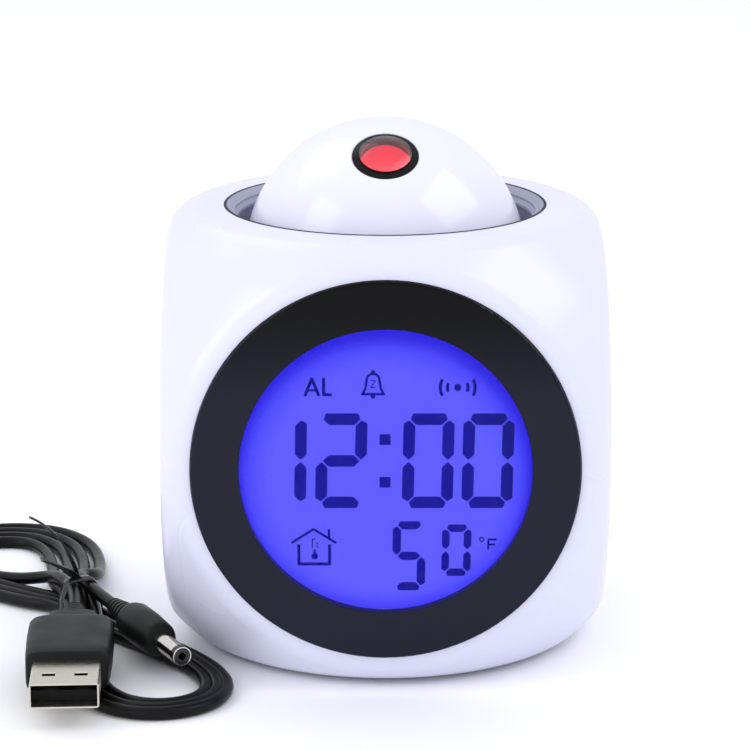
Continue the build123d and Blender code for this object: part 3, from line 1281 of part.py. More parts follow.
def lead_hank():
    """The tied hank of cord: two flat loops, a thicker waist and the step that the tails leave."""
    hank = loop_band(NEAR_LOOP_LEN, NEAR_LOOP_R, HANK_HEADING)
    hank += loop_band(FAR_LOOP_LEN, FAR_LOOP_R, HANK_HEADING + 180 - HANK_BEND)
    waist = block(-WAIST_HALF, WAIST_HALF, -WAIST_R, WAIST_R, 0, TAIL_LIFT - CORD_D / 2 - GLUE_GAP)
    waist += block(-WAIST_HALF, TAIL_TURN - TAIL_RUN, -WAIST_R, WAIST_R, 0, TAIL_LIFT + CORD_D / 2)
    tie_half = TIE_WIDTH / 2 + SLIP_GAP
    under_tie = block(-tie_half, tie_half, -CASE_SIDE, CASE_SIDE, -1, TIE_THICK + GLUE_GAP)
    return hank + hank_place(0, 0, 0) * waist - hank_place(0, 0, 0) * under_tie


def twist_tie():
    """Flat wire tie round the waist, with its two ends standing up."""
    half = WAIST_R + GLUE_GAP
    top = TAIL_LIFT + CORD_D / 2 + GLUE_GAP
    w = TIE_WIDTH / 2
    ring = block(-w, w, -half - TIE_THICK, half + TIE_THICK, 0, top + TIE_THICK)
    ring -= block(-2 * w, 2 * w, -half, half, TIE_THICK, top)
    root = Pos(0, 0, top + TIE_THICK * 0.7)
    e = TIE_END_W / 2
    t = TIE_THICK / 2
    long_end = root * Rot(TIE_LEAN_LONG, 0, 0) * block(-e, e, -t, t, 0, TIE_END_LONG)
    short_end = root * Rot(TIE_LEAN_SHORT, 0, 0) * block(-w, w, -t, t, 0, TIE_END_SHORT)
    return hank_place(0, 0, 0) * (ring + long_end + short_end)


def plug_place(side, heading):
    """Where a plug's cord end lies, facing its nose."""
    turn = hank_place(TAIL_TURN, side * TAIL_SPREAD, TAIL_LIFT).position
    return Pos(*turn) * Rot(0, 0, heading) * Pos(TAIL_RUN, 0, 0)


def tail_tube(side, heading):
    """Cord from the step on the waist, under the tie and in one bend to its plug."""
    points = [hank_place(TAIL_TURN - TAIL_RUN, side * TAIL_SPREAD, TAIL_LIFT).position,
              hank_place(TAIL_TURN, side * TAIL_SPREAD, TAIL_LIFT).position,
              plug_place(side, heading).position]
    half_turn = math.radians(abs(heading - HANK_HEADING) / 2)
    radius = 0.45 * TAIL_RUN / math.tan(half_turn)
    path = FilletPolyline(*points, radius=[radius])
    tube = sweep(Plane(origin=path @ 0, z_dir=path % 0) * Circle(CORD_D / 2), path)
    section = math.pi * CORD_D ** 2 / 4
    print(f"tail bend radius {radius:.1f} mm, volume over section x length "
          f"{tube.volume / section / path.length:.4f}")
    return tube


def usb_tail():
    """The cord from the hank to the USB plug."""
    return tail_tube(-1, USB_HEADING)


def dc_tail():
    """The cord from the hank to the power plug."""
    return tail_tube(1, DC_HEADING)


def usb_place():
    """Where the USB plug's cord end lies, facing its nose."""
    return plug_place(-1, USB_HEADING)


def dc_place():
    """Where the power plug's cord end lies, facing its nose."""
    return plug_place(1, DC_HEADING)


def rod_x(radius, x_from, x_to):
    """A round rod along X."""
    return Pos((x_from + x_to) / 2, 0, 0) * Rot(0, 90, 0) * Cylinder(radius, x_to - x_from)


def taper_x(r_from, r_to, x_from, x_to):
    """A round taper along X."""
    return Pos((x_from + x_to) / 2, 0, 0) * Rot(0, 90, 0) * Cone(r_from, r_to, x_to - x_from)


def usb_plug_body():
    """Moulded grip with a stepped neck and a tapered strain relief."""
    neck_x = USB_RELIEF_LEN
    body_x = neck_x + USB_NECK_LEN
    nose_x = body_x + USB_BODY_LEN
    grip = block(body_x, nose_x, -USB_BODY_W / 2, USB_BODY_W / 2, -USB_BODY_T / 2, USB_BODY_T / 2)
    grip = fillet(grip.edges().filter_by(Axis.X), USB_BODY_EDGE_R)
    grip = fillet(grip.faces().sort_by(Axis.X)[0].edges(), USB_BODY_EDGE_R * 0.75)
    neck = block(neck_x, body_x + 1, -USB_NECK_W / 2, USB_NECK_W / 2, -USB_NECK_T / 2, USB_NECK_T / 2)
    neck = fillet(neck.edges().filter_by(Axis.X), USB_NECK_EDGE_R)
    relief = taper_x(CORD_D / 2 + RELIEF_LIP, USB_RELIEF_R, 0, neck_x + 1)
    w = USB_SHELL_W / 2 + GLUE_GAP
    t = USB_SHELL_T / 2 + GLUE_GAP
    shell_room = block(nose_x - PLUG_ROOT, nose_x + 1, -w, w, -t, t)
    return usb_place() * (grip + neck + relief - shell_room)


def usb_plug_shell():
    """Folded metal shell with two latch holes in its top."""
    nose_x = USB_RELIEF_LEN + USB_NECK_LEN + USB_BODY_LEN
    w = USB_SHELL_W / 2
    t = USB_SHELL_T / 2
    end_x = nose_x + USB_SHELL_LEN
    shell = block(nose_x - PLUG_ROOT + GLUE_GAP, end_x, -w, w, -t, t)
    shell = fillet(shell.edges().filter_by(Axis.X), USB_SHELL_WALL * 1.8)
    inner = block(nose_x - 2 * PLUG_ROOT, end_x + 1, -w + USB_SHELL_WALL, w - USB_SHELL_WALL,
                  -t + USB_SHELL_WALL, t - USB_SHELL_WALL)
    shell -= inner
    hole_x = end_x - USB_HOLE_INSET - USB_HOLE_LEN
    for y in (-USB_HOLE_SPAN / 2, USB_HOLE_SPAN / 2):
        shell -= block(hole_x, hole_x + USB_HOLE_LEN, y - USB_HOLE_W / 2, y + USB_HOLE_W / 2, 0, 2 * t)
    return usb_place() * shell


def usb_plug_tongue():
    """Plastic tongue inside the shell."""
    nose_x = USB_RELIEF_LEN + USB_NECK_LEN + USB_BODY_LEN
    w = USB_SHELL_W / 2 - USB_SHELL_WALL - GLUE_GAP
    low = -USB_SHELL_T / 2 + USB_SHELL_WALL + GLUE_GAP
    start = nose_x - PLUG_ROOT + GLUE_GAP
    tongue = block(start, nose_x + USB_TONGUE_LEN, -w, w, low, low + USB_TONGUE_T)
    top = -low
    return usb_place() * (tongue + block(start, nose_x + 0.5, -w, w, low, top))


def dc_plug_body():
    """Round moulded grip of the power plug with its strain relief."""
    nose = DC_RELIEF_LEN + DC_BODY_LEN
    body = rod_x(DC_BODY_R, DC_RELIEF_LEN, nose)
    body = fillet(body.edges().filter_by(GeomType.CIRCLE), DC_BODY_EDGE_R)
    body += taper_x(CORD_D / 2 + RELIEF_LIP, DC_RELIEF_R, 0, DC_RELIEF_LEN + 1)
    return dc_place() * (body - rod_x(DC_BARREL_R + GLUE_GAP, nose - PLUG_ROOT, nose + 1))


def dc_plug_barrel():
    """Hollow contact barrel of the power plug."""
    nose = DC_RELIEF_LEN + DC_BODY_LEN
    end = nose + DC_BARREL_LEN
    barrel = rod_x(DC_BARREL_R, nose - PLUG_ROOT + GLUE_GAP, end)
    return dc_place() * (barrel - rod_x(DC_BARREL_BORE_R, nose, end + 1))


SINGLE_PARTS = {
    "front_case": front_case, "rear_cover": rear_cover, "bezel_ring": bezel_ring,
    "display_window": display_window, "lcd_glass": lcd_glass, "light_guide": light_guide,
    "lcd_holder": lcd_holder, "contact_strip": contact_strip, "main_board": main_board,
    "timing_crystal": timing_crystal, "well_ring": well_ring, "projector_cradle": projector_cradle,
    "cradle_support": cradle_support, "snooze_board": snooze_board, "snooze_switch": snooze_switch,
    "ball_cap": ball_cap, "ball_base": ball_base, "lens_bezel": lens_bezel,
    "projector_lens": projector_lens, "optic_tube": optic_tube, "condenser_lens": condenser_lens,
    "slide_lcd": slide_lcd, "projector_board": projector_board, "projector_led": projector_led,
    "speaker_body": speaker_body, "speaker_cone": speaker_cone, "battery_tray": battery_tray,
    "battery_door": battery_door, "key_board": key_board, "thermistor": thermistor,
    "jack_body": jack_body, "jack_pin": jack_pin, "slider_body": slider_body, "slider_knob": slider_knob,
    "lead_hank": lead_hank, "usb_tail": usb_tail, "dc_tail": dc_tail, "twist_tie": twist_tie,
    "usb_plug_body": usb_plug_body, "usb_plug_shell": usb_plug_shell, "usb_plug_tongue": usb_plug_tongue,
    "dc_plug_body": dc_plug_body, "dc_plug_barrel": dc_plug_barrel,
}
GROUPED_PARTS = {
    "rubber_feet": rubber_feet, "case_screws": case_screws, "inner_screws": inner_screws,
    "lcd_segments": lcd_segments, "chip_caps": chip_caps, "backlight_leds": backlight_leds,
    "cradle_springs": cradle_springs, "trunnion_pins": trunnion_pins, "ball_screws": ball_screws,
    "battery_cells": battery_cells, "contact_plates": contact_plates, "contact_springs": contact_springs,
    "key_switches": key_switches,
}


def main():
    """Write one STEP file per piece."""
    os.makedirs("parts", exist_ok=True)
    shapes = {name: make() for name, make in SINGLE_PARTS.items()}
    for name, make in GROUPED_PARTS.items():
        shapes[name] = Compound(children=make())
    for index, name in enumerate(BUTTON_NAMES):
        shapes[name] = button_cap(index)
    for name, shape in shapes.items():
        shape.label = name
        export_step(shape, f"parts/{name}.step")


main()
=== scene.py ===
"""Looks of a projection alarm clock with its loose USB lead.

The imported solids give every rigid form. This file dresses them, winds the lead as one cord, and makes
the pieces that need finer forms: the twist tie, the plugs' grips, the trim round the ball's well and
the words printed on the back. Metres, +Z up, display towards -Y. Sizes in the classes are in
millimetres.
"""

import logging
import math
from collections.abc import Sequence
from dataclasses import dataclass
from enum import Enum
from typing import ClassVar

import bmesh
import bpy
from bpy.types import ID, Material, Mesh, Node, NodeSocket, NodeTree, Object
from mathutils import Matrix, Vector


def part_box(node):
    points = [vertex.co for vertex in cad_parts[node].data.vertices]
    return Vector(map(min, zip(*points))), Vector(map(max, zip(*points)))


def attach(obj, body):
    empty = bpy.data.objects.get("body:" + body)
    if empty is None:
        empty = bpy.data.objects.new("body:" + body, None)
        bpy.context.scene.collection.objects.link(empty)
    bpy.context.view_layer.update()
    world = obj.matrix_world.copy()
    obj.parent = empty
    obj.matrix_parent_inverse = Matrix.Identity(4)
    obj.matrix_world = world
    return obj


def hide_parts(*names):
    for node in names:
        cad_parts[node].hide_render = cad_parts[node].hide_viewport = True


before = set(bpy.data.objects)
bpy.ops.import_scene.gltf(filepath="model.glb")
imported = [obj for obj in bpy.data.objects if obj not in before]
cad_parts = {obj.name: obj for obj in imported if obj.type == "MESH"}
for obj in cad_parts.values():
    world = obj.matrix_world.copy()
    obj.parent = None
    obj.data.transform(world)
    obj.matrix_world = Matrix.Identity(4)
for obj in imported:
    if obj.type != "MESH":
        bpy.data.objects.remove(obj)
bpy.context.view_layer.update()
MM = 0.001
MIX_FACTOR, MIX_A, MIX_B, MIX_RESULT = 0, 6, 7, 2    # a colour Mix node's sockets
MATT_LEVEL = 0.1                                     # gloss of surfaces that shine by themselves
UP = Vector((0.0, 0.0, 1.0))
log = logging.getLogger("clock")


# --- shader and mesh helpers ---

def linear(colour: str) -> tuple[float, float, float, float]:
    """Turns an sRGB hex colour into linear RGBA.

    Args:
        colour: six hex digits after a hash.

    Returns:
        Linear red, green, blue and an alpha of 1.
    """
    channels = [int(colour[i:i + 2], 16) / 255 for i in (1, 3, 5)]
    red, green, blue = (c / 12.92 if c <= 0.04045 else ((c + 0.055) / 1.055) ** 2.4 for c in channels)
    return red, green, blue, 1.0


def plug(tree: NodeTree, target: Node, inputs: dict) -> None:
    """Sets or links a node's inputs.

    Args:
        tree: the node tree that holds the node.
        target: the node.
        inputs: socket name or number to a value, or to an output socket that is linked to it.
    """
    for name, value in inputs.items():
        if isinstance(value, NodeSocket):
            tree.links.new(value, target.inputs[name])
        else:
            target.inputs[name].default_value = value


def add(tree: NodeTree, kind: str, inputs: dict | None = None, **settings) -> Node:
    """Adds one shader node with its settings and links.

    Args:
        tree: the node tree to add it to.
        kind: the node's type after "ShaderNode".
        inputs: as plug() takes them.
        settings: the node's own properties; stops is a colour ramp's list of (place, colour).

    Returns:
        The new node.
    """
    made = tree.nodes.new("ShaderNode" + kind)
    stops = settings.pop("stops", ())
    for name, value in settings.items():
        setattr(made, name, value)
    for index, (place, colour) in enumerate(stops):
        ramp = made.color_ramp.elements
        stop = ramp[index] if index < 2 else ramp.new(place)
        stop.position = place
        stop.color = linear(colour)
    plug(tree, made, inputs or {})
    return made


def per_mm(size: float) -> float:
    """A texture scale whose features are about size millimetres wide."""
    return 1 / (size * MM)


def noise(tree: NodeTree, place: NodeSocket, size: float, detail: float) -> NodeSocket:
    """A noise of 0 to 1 with clouds about size millimetres wide."""
    return add(tree, "TexNoise", {"Vector": place, "Scale": per_mm(size), "Detail": detail}).outputs["Fac"]


def blend(tree: NodeTree, share: NodeSocket, *colours: str | NodeSocket) -> NodeSocket:
    """Mixes two colours, each a hex colour or a socket, by a share of 0 to 1."""
    first, second = (linear(c) if isinstance(c, str) else c for c in colours)
    return add(tree, "Mix", {MIX_FACTOR: share, MIX_A: first, MIX_B: second},
               data_type="RGBA").outputs[MIX_RESULT]


def eased(tree: NodeTree, length: NodeSocket, start: float, end: float) -> NodeSocket:
    """How far a length in metres is from start to end in millimetres, 0 to 1 and eased at both ends."""
    return add(tree, "MapRange", {"Value": length, "From Min": start * MM, "From Max": end * MM},
               interpolation_type="SMOOTHSTEP").outputs["Result"]


def around(count: int) -> list[float]:
    """Angles at even steps round a circle, in radians."""
    return [2 * math.pi * index / count for index in range(count)]


def in_scene(name: str, data: ID) -> Object:
    """A new object with this data, linked to the scene."""
    made = bpy.data.objects.new(name, data)
    bpy.context.scene.collection.objects.link(made)
    return made


def new_piece(name: str, data: ID, body: str, finish: "Finish") -> Object:
    """Puts a new piece in the scene, on its body and with its finish.

    Args:
        name: the piece's name.
        data: its mesh or curve.
        body: the CAD body it rides on.
        finish: what it is made of.

    Returns:
        The new object.
    """
    piece = in_scene(name, data)
    data.materials.append(finish.material())
    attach(piece, body)
    log.info("made %s", name)
    return piece


def ring_mesh(name: str, rings: Sequence[Sequence[Vector]], closed: bool = False) -> Mesh:
    """Skins rings of points into a smooth closed mesh.

    Args:
        name: the mesh's name.
        rings: rings with the same number of points each, in metres.
        closed: whether the last ring joins the first, rather than both being capped.

    Returns:
        The mesh.
    """
    build = bmesh.new()
    rows = [[build.verts.new(point) for point in ring] for ring in rings]
    pairs = list(zip(rows, rows[1:] + rows[:1])) if closed else list(zip(rows, rows[1:]))
    for low, high in pairs:
        for i in range(len(low)):
            j = (i + 1) % len(low)
            build.faces.new((low[i], low[j], high[j], high[i]))
    if not closed:
        build.faces.new(rows[0])
        build.faces.new(rows[-1])
    bmesh.ops.recalc_face_normals(build, faces=build.faces)
    for face in build.faces:
        face.smooth = len(face.verts) == 4
    mesh = bpy.data.meshes.new(name)
    build.to_mesh(mesh)
    build.free()
    return mesh


def sharpen(piece: Object, angle: float = 35.0) -> None:
    """Keeps a mesh's edges crisp where it turns by more than angle degrees."""
    piece.data.set_sharp_from_angle(angle=math.radians(angle))


def middle_of(node: str) -> Vector:
    """The middle of a CAD node's box, in metres."""
    low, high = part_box(node)
    return (low + high) / 2


# --- finishes ---

@dataclass(frozen=True)
class Finish:
    """What one kind of surface is made of. Each subclass fills in its shader."""

    name: str

    def material(self) -> Material:
        """The finish's material, made the first time that it is asked for."""
        made = bpy.data.materials.get(self.name)
        if made is None:
            made = bpy.data.materials.new(self.name)
            made.use_nodes = True
            tree = made.node_tree
            self.shade(tree, tree.nodes["Principled BSDF"], add(tree, "TexCoord").outputs["Object"])
        return made

    def shade(self, tree: NodeTree, surface: Node, place: NodeSocket) -> None:
        """Fills in the shader.

        Args:
            tree: the material's node tree.
            surface: its Principled BSDF.
            place: the object's own coordinates.
        """
        raise NotImplementedError


@dataclass(frozen=True)
class MouldedPlastic(Finish):
    """Injection moulded plastic: faint flow clouds in the colour and a fine grain from the mould."""

    colour: str
    cloud: str                       # second colour of the flow clouds
    roughness: float
    ior: float = 1.53                # ABS
    specular: float = 0.5
    cloud_mm: float = 22.0
    grain_mm: float = 0.45
    grain_height: float = 0.0015     # millimetres
    rough_spread: float = 0.04
    subsurface: float = 0.0

    def tint(self, tree: NodeTree, place: NodeSocket, clouds: NodeSocket) -> NodeSocket:
        """The surface's colour.

        Args:
            tree: the material's node tree.
            place: the object's own coordinates.
            clouds: how far each spot is in a flow cloud, 0 to 1.

        Returns:
            The colour's socket.
        """
        return blend(tree, clouds, self.colour, self.cloud)

    def shade(self, tree: NodeTree, surface: Node, place: NodeSocket) -> None:
        """Fills in clouds, grain and gloss."""
        clouds = noise(tree, place, self.cloud_mm, 1.0)
        grain = noise(tree, place, self.grain_mm, 2.0)
        rough = add(tree, "MapRange", {"Value": clouds, "From Min": 0.2, "From Max": 0.8,
                                       "To Min": self.roughness - self.rough_spread,
                                       "To Max": self.roughness + self.rough_spread},
                    interpolation_type="SMOOTHSTEP")
        bump = add(tree, "Bump", {"Height": grain, "Distance": self.grain_height * MM})
        plug(tree, surface, {"Base Color": self.tint(tree, place, clouds),
                             "Roughness": rough.outputs["Result"], "IOR": self.ior,
                             "Specular IOR Level": self.specular, "Normal": bump.outputs["Normal"],
                             "Subsurface Weight": self.subsurface, "Subsurface Radius": (1.0, 0.95, 0.9),
                             "Subsurface Scale": 0.6 * MM})


@dataclass(frozen=True)
class TopShadedPlastic(MouldedPlastic):
    """Moulded plastic with painted shade: its colour deepens with height."""

    deep: str = "#000000"
    plain_to: float = 0.0            # its own colour up to here above the table, millimetres
    deep_from: float = 1.0           # fully deep from here on, millimetres

    def tint(self, tree: NodeTree, place: NodeSocket, clouds: NodeSocket) -> NodeSocket:
        """The moulded colour, mixed by height towards the deep one as painted shade."""
        height = add(tree, "SeparateXYZ", {"Vector": place}).outputs["Z"]
        return blend(tree, eased(tree, height, self.plain_to, self.deep_from),
                     super().tint(tree, place, clouds), self.deep)


@dataclass(frozen=True)
class PlatedMetal(Finish):
    """Plated or drawn metal: fine streaks along one axis and a slightly uneven gloss."""

    colour: str
    dull: str                        # colour in the streaks
    roughness: float
    streak_mm: tuple[float, float, float] = (6.0, 0.25, 0.25)
    streak_height: float = 0.001

    def shade(self, tree: NodeTree, surface: Node, place: NodeSocket) -> None:
        """Fills in the streaks."""
        stretch = add(tree, "Mapping", {"Vector": place, "Scale": tuple(per_mm(s) for s in self.streak_mm)})
        streaks = add(tree, "TexNoise", {"Vector": stretch.outputs["Vector"], "Scale": 1.0, "Detail": 3.0})
        share = streaks.outputs["Fac"]
        rough = add(tree, "MapRange", {"Value": share, "To Min": self.roughness * 0.7,
                                       "To Max": self.roughness * 1.3})
        bump = add(tree, "Bump", {"Height": share, "Distance": self.streak_height * MM})
        plug(tree, surface, {"Base Color": blend(tree, share, self.colour, self.dull), "Metallic": 1.0,
                             "Roughness": rough.outputs["Result"], "Normal": bump.outputs["Normal"]})


@dataclass(frozen=True)
class ClearPlastic(Finish):
    """Polished clear plastic with a faint haze."""

    colour: str
    haze: str
    ior: float
    roughness: float = 0.02
    haze_mm: float = 9.0

    def shade(self, tree: NodeTree, surface: Node, place: NodeSocket) -> None:
        """Fills in the tint and its haze."""
        clouds = noise(tree, place, self.haze_mm, 2.0)
        plug(tree, surface, {"Base Color": blend(tree, clouds, self.colour, self.haze),
                             "Roughness": self.roughness, "IOR": self.ior, "Transmission Weight": 1.0})


@dataclass(frozen=True)
class LitSurface(Finish):
    """A surface that glows by emission, brightest at the first colour: a lamp or a layer of the backlit
    display, or optics, where the glow is painted light.

    With an axis the colours follow each other along it; without one, outwards over the display.
    """

    colours: tuple[str, ...]
    strength: float
    centre: tuple[float, float, float]   # where the distance is counted from, millimetres
    start: float                         # first colour up to here, millimetres
    end: float                           # last colour from here on, millimetres
    axis: tuple[float, float, float] | None = None
    unlit: str = "#0A0506"
    stops: tuple[float, ...] = (0.0, 1.0)
    roughness: float = 0.4
    mottle_mm: float = 2.5
    mottle: float = 0.12                 # share that the unevenness adds

    def shade(self, tree: NodeTree, surface: Node, place: NodeSocket) -> None:
        """Fills in the glow by its distance."""
        away = add(tree, "VectorMath", {0: place, 1: tuple(c * MM for c in self.centre)},
                   operation="SUBTRACT").outputs["Vector"]
        if self.axis:
            reach = add(tree, "VectorMath", {0: away, 1: self.axis}, operation="DOT_PRODUCT")
        else:
            flat = add(tree, "VectorMath", {0: away, 1: (1.0, 0.0, 1.0)}, operation="MULTIPLY")
            reach = add(tree, "VectorMath", {0: flat.outputs["Vector"]}, operation="LENGTH")
        uneven = add(tree, "Math", {0: noise(tree, place, self.mottle_mm, 1.0), 1: self.mottle,
                                    2: eased(tree, reach.outputs["Value"], self.start, self.end)},
                     operation="MULTIPLY_ADD")
        glow = add(tree, "ValToRGB", {"Fac": uneven.outputs["Value"]},
                   stops=tuple(zip(self.stops, self.colours)))
        plug(tree, surface, {"Base Color": linear(self.unlit), "Emission Color": glow.outputs["Color"],
                             "Emission Strength": self.strength, "Roughness": self.roughness,
                             "Specular IOR Level": MATT_LEVEL})


@dataclass(frozen=True)
class PrintedBoard(Finish):
    """Glass epoxy board under a solder mask, with paler traces and tinned holes."""

    mask: str
    trace: str
    tin: str
    trace_mm: float = 1.6
    hole_mm: float = 3.2

    def shade(self, tree: NodeTree, surface: Node, place: NodeSocket) -> None:
        """Fills in traces and holes."""
        traces = add(tree, "TexVoronoi", {"Vector": place, "Scale": per_mm(self.trace_mm * 2)},
                     distance="CHEBYCHEV", feature="F1")
        holes = add(tree, "TexVoronoi", {"Vector": place, "Scale": per_mm(self.hole_mm)})
        line = add(tree, "ValToRGB", {"Fac": traces.outputs["Distance"]},
                   stops=((0.36, self.mask), (0.40, self.trace)))
        spot = add(tree, "Math", {0: holes.outputs["Distance"], 1: 0.12}, operation="LESS_THAN")
        bare = spot.outputs["Value"]
        plug(tree, surface, {"Base Color": blend(tree, bare, line.outputs["Color"], self.tin),
                             "Metallic": bare, "Roughness": 0.35})


@dataclass(frozen=True)
class CellSleeve(Finish):
    """A dry cell: shrink sleeve round the middle, bare steel at both ends."""

    sleeve: str
    band: str
    steel: str
    half_len: float                  # of the cell, millimetres
    band_from: float = 0.70          # share of that half where the band starts
    bare_from: float = 0.985         # share of it where the sleeve ends

    def shade(self, tree: NodeTree, surface: Node, place: NodeSocket) -> None:
        """Fills in the sleeve by its place along the cell."""
        along = add(tree, "SeparateXYZ", {"Vector": place}).outputs["X"]
        reach = add(tree, "Math", {0: along}, operation="ABSOLUTE").outputs["Value"]
        share = add(tree, "MapRange", {"Value": reach, "From Max": self.half_len * MM}).outputs["Result"]
        colour = add(tree, "ValToRGB", {"Fac": share},
                     stops=((0.0, self.sleeve), (self.band_from, self.band), (self.bare_from, self.steel)))
        colour.color_ramp.interpolation = "CONSTANT"
        bare = add(tree, "Math", {0: share, 1: self.bare_from}, operation="GREATER_THAN").outputs["Value"]
        plug(tree, surface, {"Base Color": colour.outputs["Color"], "Metallic": bare, "Roughness": 0.28})


BALL_CENTRE = (0.0, 0.0, 70.6)
LENS_ELEVATION = math.radians(58.0)
LENS_AXIS = (0.0, -math.cos(LENS_ELEVATION), math.sin(LENS_ELEVATION))

# ABS, moulded against a polished steel tool: an even, slightly blue white with soft, wide reflections.
CASE_ABS = MouldedPlastic("abs_satin_white", "#DCDDF1", "#D9DAEE", 0.24, subsurface=0.04)
# ABS, moulded and buffed: the ball is a little brighter and glossier than the case.
BALL_ABS = MouldedPlastic("abs_gloss_white", "#E4E4F4", "#E1E1F1", 0.14, grain_height=0.0006,
                          subsurface=0.04)
# ABS in slate black, high gloss tool: deep colour that takes only a thin reflection. It is blacker
# towards the top with painted shade, which stands in for the darker reflection there.
RING_ABS = TopShadedPlastic("abs_gloss_slate", "#1D1F2D", "#191B27", 0.14, specular=0.12,
                         grain_height=0.0006, deep="#020203", plain_to=50.0, deep_from=72.0)
# ABS in black, polished tool: the lens ring stays nearly black in any light.
LENS_RING_ABS = MouldedPlastic("abs_polished_black", "#100B10", "#0C090C", 0.12, specular=0.16,
                               grain_height=0.0)
# ABS, uncoloured, from an ordinary tool: dull and greyer, as parts inside a housing are.
INNER_ABS = MouldedPlastic("abs_natural", "#D6D7DB", "#CBCCD2", 0.52, grain_height=0.004)
# ABS in cool grey, spark eroded tool: the well's wall is matt, so that the ball stands out.
WELL_ABS = MouldedPlastic("abs_matt_grey", "#A2A5B8", "#999CB0", 0.48, grain_height=0.004)
# Painted shadow: the same ABS made dark, as a line in the joint between well and case where the gap lies in
# shade.
JOINT_SHADOW_ABS = MouldedPlastic("abs_matt_joint_shadow", "#2E3038", "#282A31", 0.6, specular=0.2, grain_height=0.002)
# ABS in black, polished tool.
BLACK_ABS = MouldedPlastic("abs_gloss_black", "#0C0C0F", "#121216", 0.20)
# Plasticised PVC, extruded: soft black that shines a little along the cord.
CORD_PVC = MouldedPlastic("pvc_cord_black", "#050505", "#0A0A0A", 0.34, specular=0.16, cloud_mm=5.0,
                          grain_mm=0.5, grain_height=0.006)
# PVC, moulded over the plugs in a grained tool: duller than the cord.
GRIP_PVC = MouldedPlastic("pvc_grip_black", "#131413", "#0D0E0D", 0.45, specular=0.16, cloud_mm=5.0,
                          grain_mm=0.35, grain_height=0.012)
# Thermoplastic rubber, moulded: dull grey that grips.
FOOT_RUBBER = MouldedPlastic("tpe_grey", "#5C5C60", "#525256", 0.78, grain_height=0.01)
# Silicone loaded with carbon layers: dull and soft.
STRIP_RUBBER = MouldedPlastic("silicone_contact", "#6E6268", "#4A4448", 0.65, cloud_mm=0.4)
# PBT, moulded: the plug's insulator is given near black, so that the shell's mouth looks dark.
PLUG_PBT = MouldedPlastic("pbt_black", "#0C0C0C", "#101010", 0.42, specular=0.15)
# Epoxy, dripped over the chips: glossy black bead.
CHIP_EPOXY = MouldedPlastic("epoxy_black", "#0B0B0B", "#131313", 0.22, ior=1.55)
# Pressed paper pulp: matt black with visible fibres.
CONE_PAPER = MouldedPlastic("paper_pulp_black", "#1B1B1B", "#262626", 0.85, cloud_mm=1.5, grain_mm=0.3,
                            grain_height=0.03)
# Acrylic, cast light guide with a milky filler.
GUIDE_ACRYLIC = MouldedPlastic("acrylic_milky", "#DDE2FF", "#CFD6FF", 0.35, ior=1.49, subsurface=0.2)
# Steel, cold headed and zinc plated: bright grey with a soft shine.
ZINC_STEEL = PlatedMetal("steel_zinc_plated", "#C6C8CC", "#A9ACB2", 0.30)
# Spring steel wire, drawn: darker grey, streaked along the wire.
SPRING_WIRE = PlatedMetal("steel_spring_drawn", "#9C9DA2", "#808289", 0.28)
# Nickel over brass, pressed: warm silver, as on plug shells.
NICKEL = PlatedMetal("nickel_plated", "#DAD6CA", "#C0BBAD", 0.26)
# Nickel over brass, turned: smoother and brighter, with dark and bright stripes along a barrel.
BARREL_NICKEL = PlatedMetal("nickel_turned", "#E2DFD8", "#D2CEC6", 0.14, streak_height=0.0003)
# Acrylic, polished and coated against glare: the low index stands for the coating, so the window
# nearly disappears.
WINDOW_ACRYLIC = ClearPlastic("acrylic_coated", "#F8F9FF", "#F4F6FF", 1.12)
# Acrylic, moulded optics: clear, with a painted pink tint that stands in for the red light behind it.
LENS_ACRYLIC = ClearPlastic("acrylic_optics", "#FFE6EA", "#FFDCE2", 1.42)
# How both layers of the display are lit, deeper towards the frame's shadow.
PANEL = {"stops": (0.0, 0.62, 1.0), "roughness": 0.3, "mottle_mm": 14.0, "mottle": 0.06}
# Liquid crystal glass over the blue backlight: a bright, even blue.
LCD_GLASS = LitSurface("lcd_backlit_blue", ("#605DFF", "#4A46FC", "#2318E0"), 1.0, (-0.2, 0.0, 38.4),
                       19.5, 27.4, unlit="#04041C", **PANEL)
# Switched-on liquid crystal: it blocks most of the blue, so it reads as deep navy.
LCD_INK = LitSurface("lcd_segment_navy", ("#000098", "#00008C", "#000078"), 1.0, (0.0, 0.0, 38.4),
                     16.0, 26.0, unlit="#000010", **PANEL)
# Epoxy lamps: brightest at the chip.
RED_LAMP = LitSurface("epoxy_led_red", ("#FF3A30", "#C80A12"), 6.0, BALL_CENTRE, 4.0, 9.0, LENS_AXIS)
BLUE_LAMP = LitSurface("led_chip_blue", ("#9FB0FF", "#3344FF"), 2.0, (-27.2, -33.5, 40.8), 2.0, 12.0,
                       (1.0, 0.0, 0.0))
# Painted light: the glass of the projected slide and the lens under it glow by emission, standing in for the
# red lamp's light from behind.
RED_SLIDE_PAINTED_GLOW = LitSurface("lcd_slide_painted_red_glow", ("#FF1E2A", "#F0141E"), 2.1, BALL_CENTRE, 12.0, 16.0, LENS_AXIS)
# Painted light: the black tube's bore glows by emission as though the red lamp lit it, bright beside the
# slide, dim at the mouth.
RED_BORE_PAINTED_GLOW = LitSurface("abs_tube_painted_red_glow", ("#FF1E2C", "#6A2440"), 1.8, BALL_CENTRE, 17.5, 25.0, LENS_AXIS)
# Glass epoxy under green solder mask: dark green with paler traces and tinned holes.
GREEN_BOARD = PrintedBoard("fr4_green_mask", "#0C3B1E", "#1B5A30", "#C9C4B4")
# Shrink sleeve over steel cans: slate with a grey band, bright steel at the ends.
CELLS = CellSleeve("cell_sleeve_plain", "#20242C", "#7F858F", "#C9CACD", 22.0)
# Pad printed ink: thin, matt grey.
PRINT_INK = MouldedPlastic("pad_ink_grey", "#5A5D68", "#666975", 0.6, cloud_mm=2.0)


# --- sub-assemblies ---

